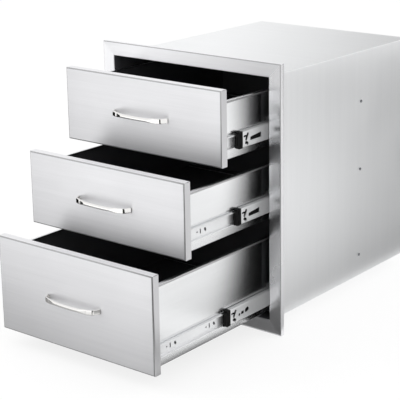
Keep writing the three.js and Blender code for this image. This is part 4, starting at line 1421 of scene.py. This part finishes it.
    def toned(self, name, x, y, z, tone, one_sided=False, screen=False):
        """Card on a grid of places that shines with the tone of each of its points, seen only in
        reflections. A one-sided card is clear from behind. On a screen the tone is instead how
        dense a black card is."""
        card, tree = self.standing(name, x, y, z, name)
        layer = card.data.attributes.new("tone", "FLOAT", "POINT")
        layer.data.foreach_set("value", tone.ravel().astype(np.float32))
        card.visible_camera = card.visible_diffuse = card.visible_shadow = False
        value = add_node(tree, "ShaderNodeAttribute", attribute_name="tone").outputs["Fac"]
        glow = {} if screen else {"Strength": value}
        shown = add_node(tree, "ShaderNodeEmission", {"Color": WHITE, "Strength": 0.0}, glow)
        if one_sided:
            back = add_node(tree, "ShaderNodeNewGeometry").outputs["Backfacing"]
            share = maths(tree, "SUBTRACT", 1.0, back)
            share = maths(tree, "MULTIPLY", share, value) if screen else share
            clear = add_node(tree, "ShaderNodeBsdfTransparent")
            shown = mixed(tree, share, clear, shown)
        output(tree, shown)


class DRAWERUNIT_PT_panel(bpy.types.Panel):
    """Lists the pieces of the drawer unit and their sizes and colours"""

    bl_idname = "DRAWERUNIT_PT_panel"
    bl_label = "Drawer unit"
    bl_space_type = "VIEW_3D"
    bl_region_type = "UI"
    bl_category = "Drawer unit"

    def draw(self, context):
        column = self.layout.column(align=True)
        for operator in OPERATORS:
            column.operator(operator.bl_idname)
        for name in GROUPS_OF_VALUES:
            group = getattr(context.scene, name)
            column = self.layout.column(align=True)
            for value in group.__annotations__:
                column.prop(group, value)


OPERATORS = (
    DRAWERUNIT_OT_stage,
    DRAWERUNIT_OT_face_frame,
    DRAWERUNIT_OT_cabinet,
    DRAWERUNIT_OT_fronts,
    DRAWERUNIT_OT_trays,
    DRAWERUNIT_OT_handles,
    DRAWERUNIT_OT_rails,
    DRAWERUNIT_OT_cages,
    DRAWERUNIT_OT_bumpers,
    DRAWERUNIT_OT_rivets,
)
GROUPS_OF_VALUES = {
    "drawer_unit_sheet": DrawerUnitSheet,
    "drawer_unit_slides": DrawerUnitSlides,
    "drawer_unit_handle": DrawerUnitHandle,
    "drawer_unit_finish": DrawerUnitFinish,
}
CLASSES = (*GROUPS_OF_VALUES.values(), *OPERATORS, DRAWERUNIT_PT_panel)


def register():
    for kind in CLASSES:
        bpy.utils.register_class(kind)
    for name, kind in GROUPS_OF_VALUES.items():
        setattr(bpy.types.Scene, name, PointerProperty(type=kind))


def unregister():
    for name in GROUPS_OF_VALUES:
        delattr(bpy.types.Scene, name)
    for kind in reversed(CLASSES):
        bpy.utils.unregister_class(kind)


def main():
    register()
    bpy.ops.drawer_unit.stage()
    bpy.ops.drawer_unit.face_frame()
    bpy.ops.drawer_unit.cabinet()
    bpy.ops.drawer_unit.fronts()
    bpy.ops.drawer_unit.trays()
    bpy.ops.drawer_unit.handles()
    bpy.ops.drawer_unit.rails()
    bpy.ops.drawer_unit.cages()
    bpy.ops.drawer_unit.bumpers()
    bpy.ops.drawer_unit.rivets()
    bpy.context.view_layer.update()


if __name__ == "__main__":
    main()
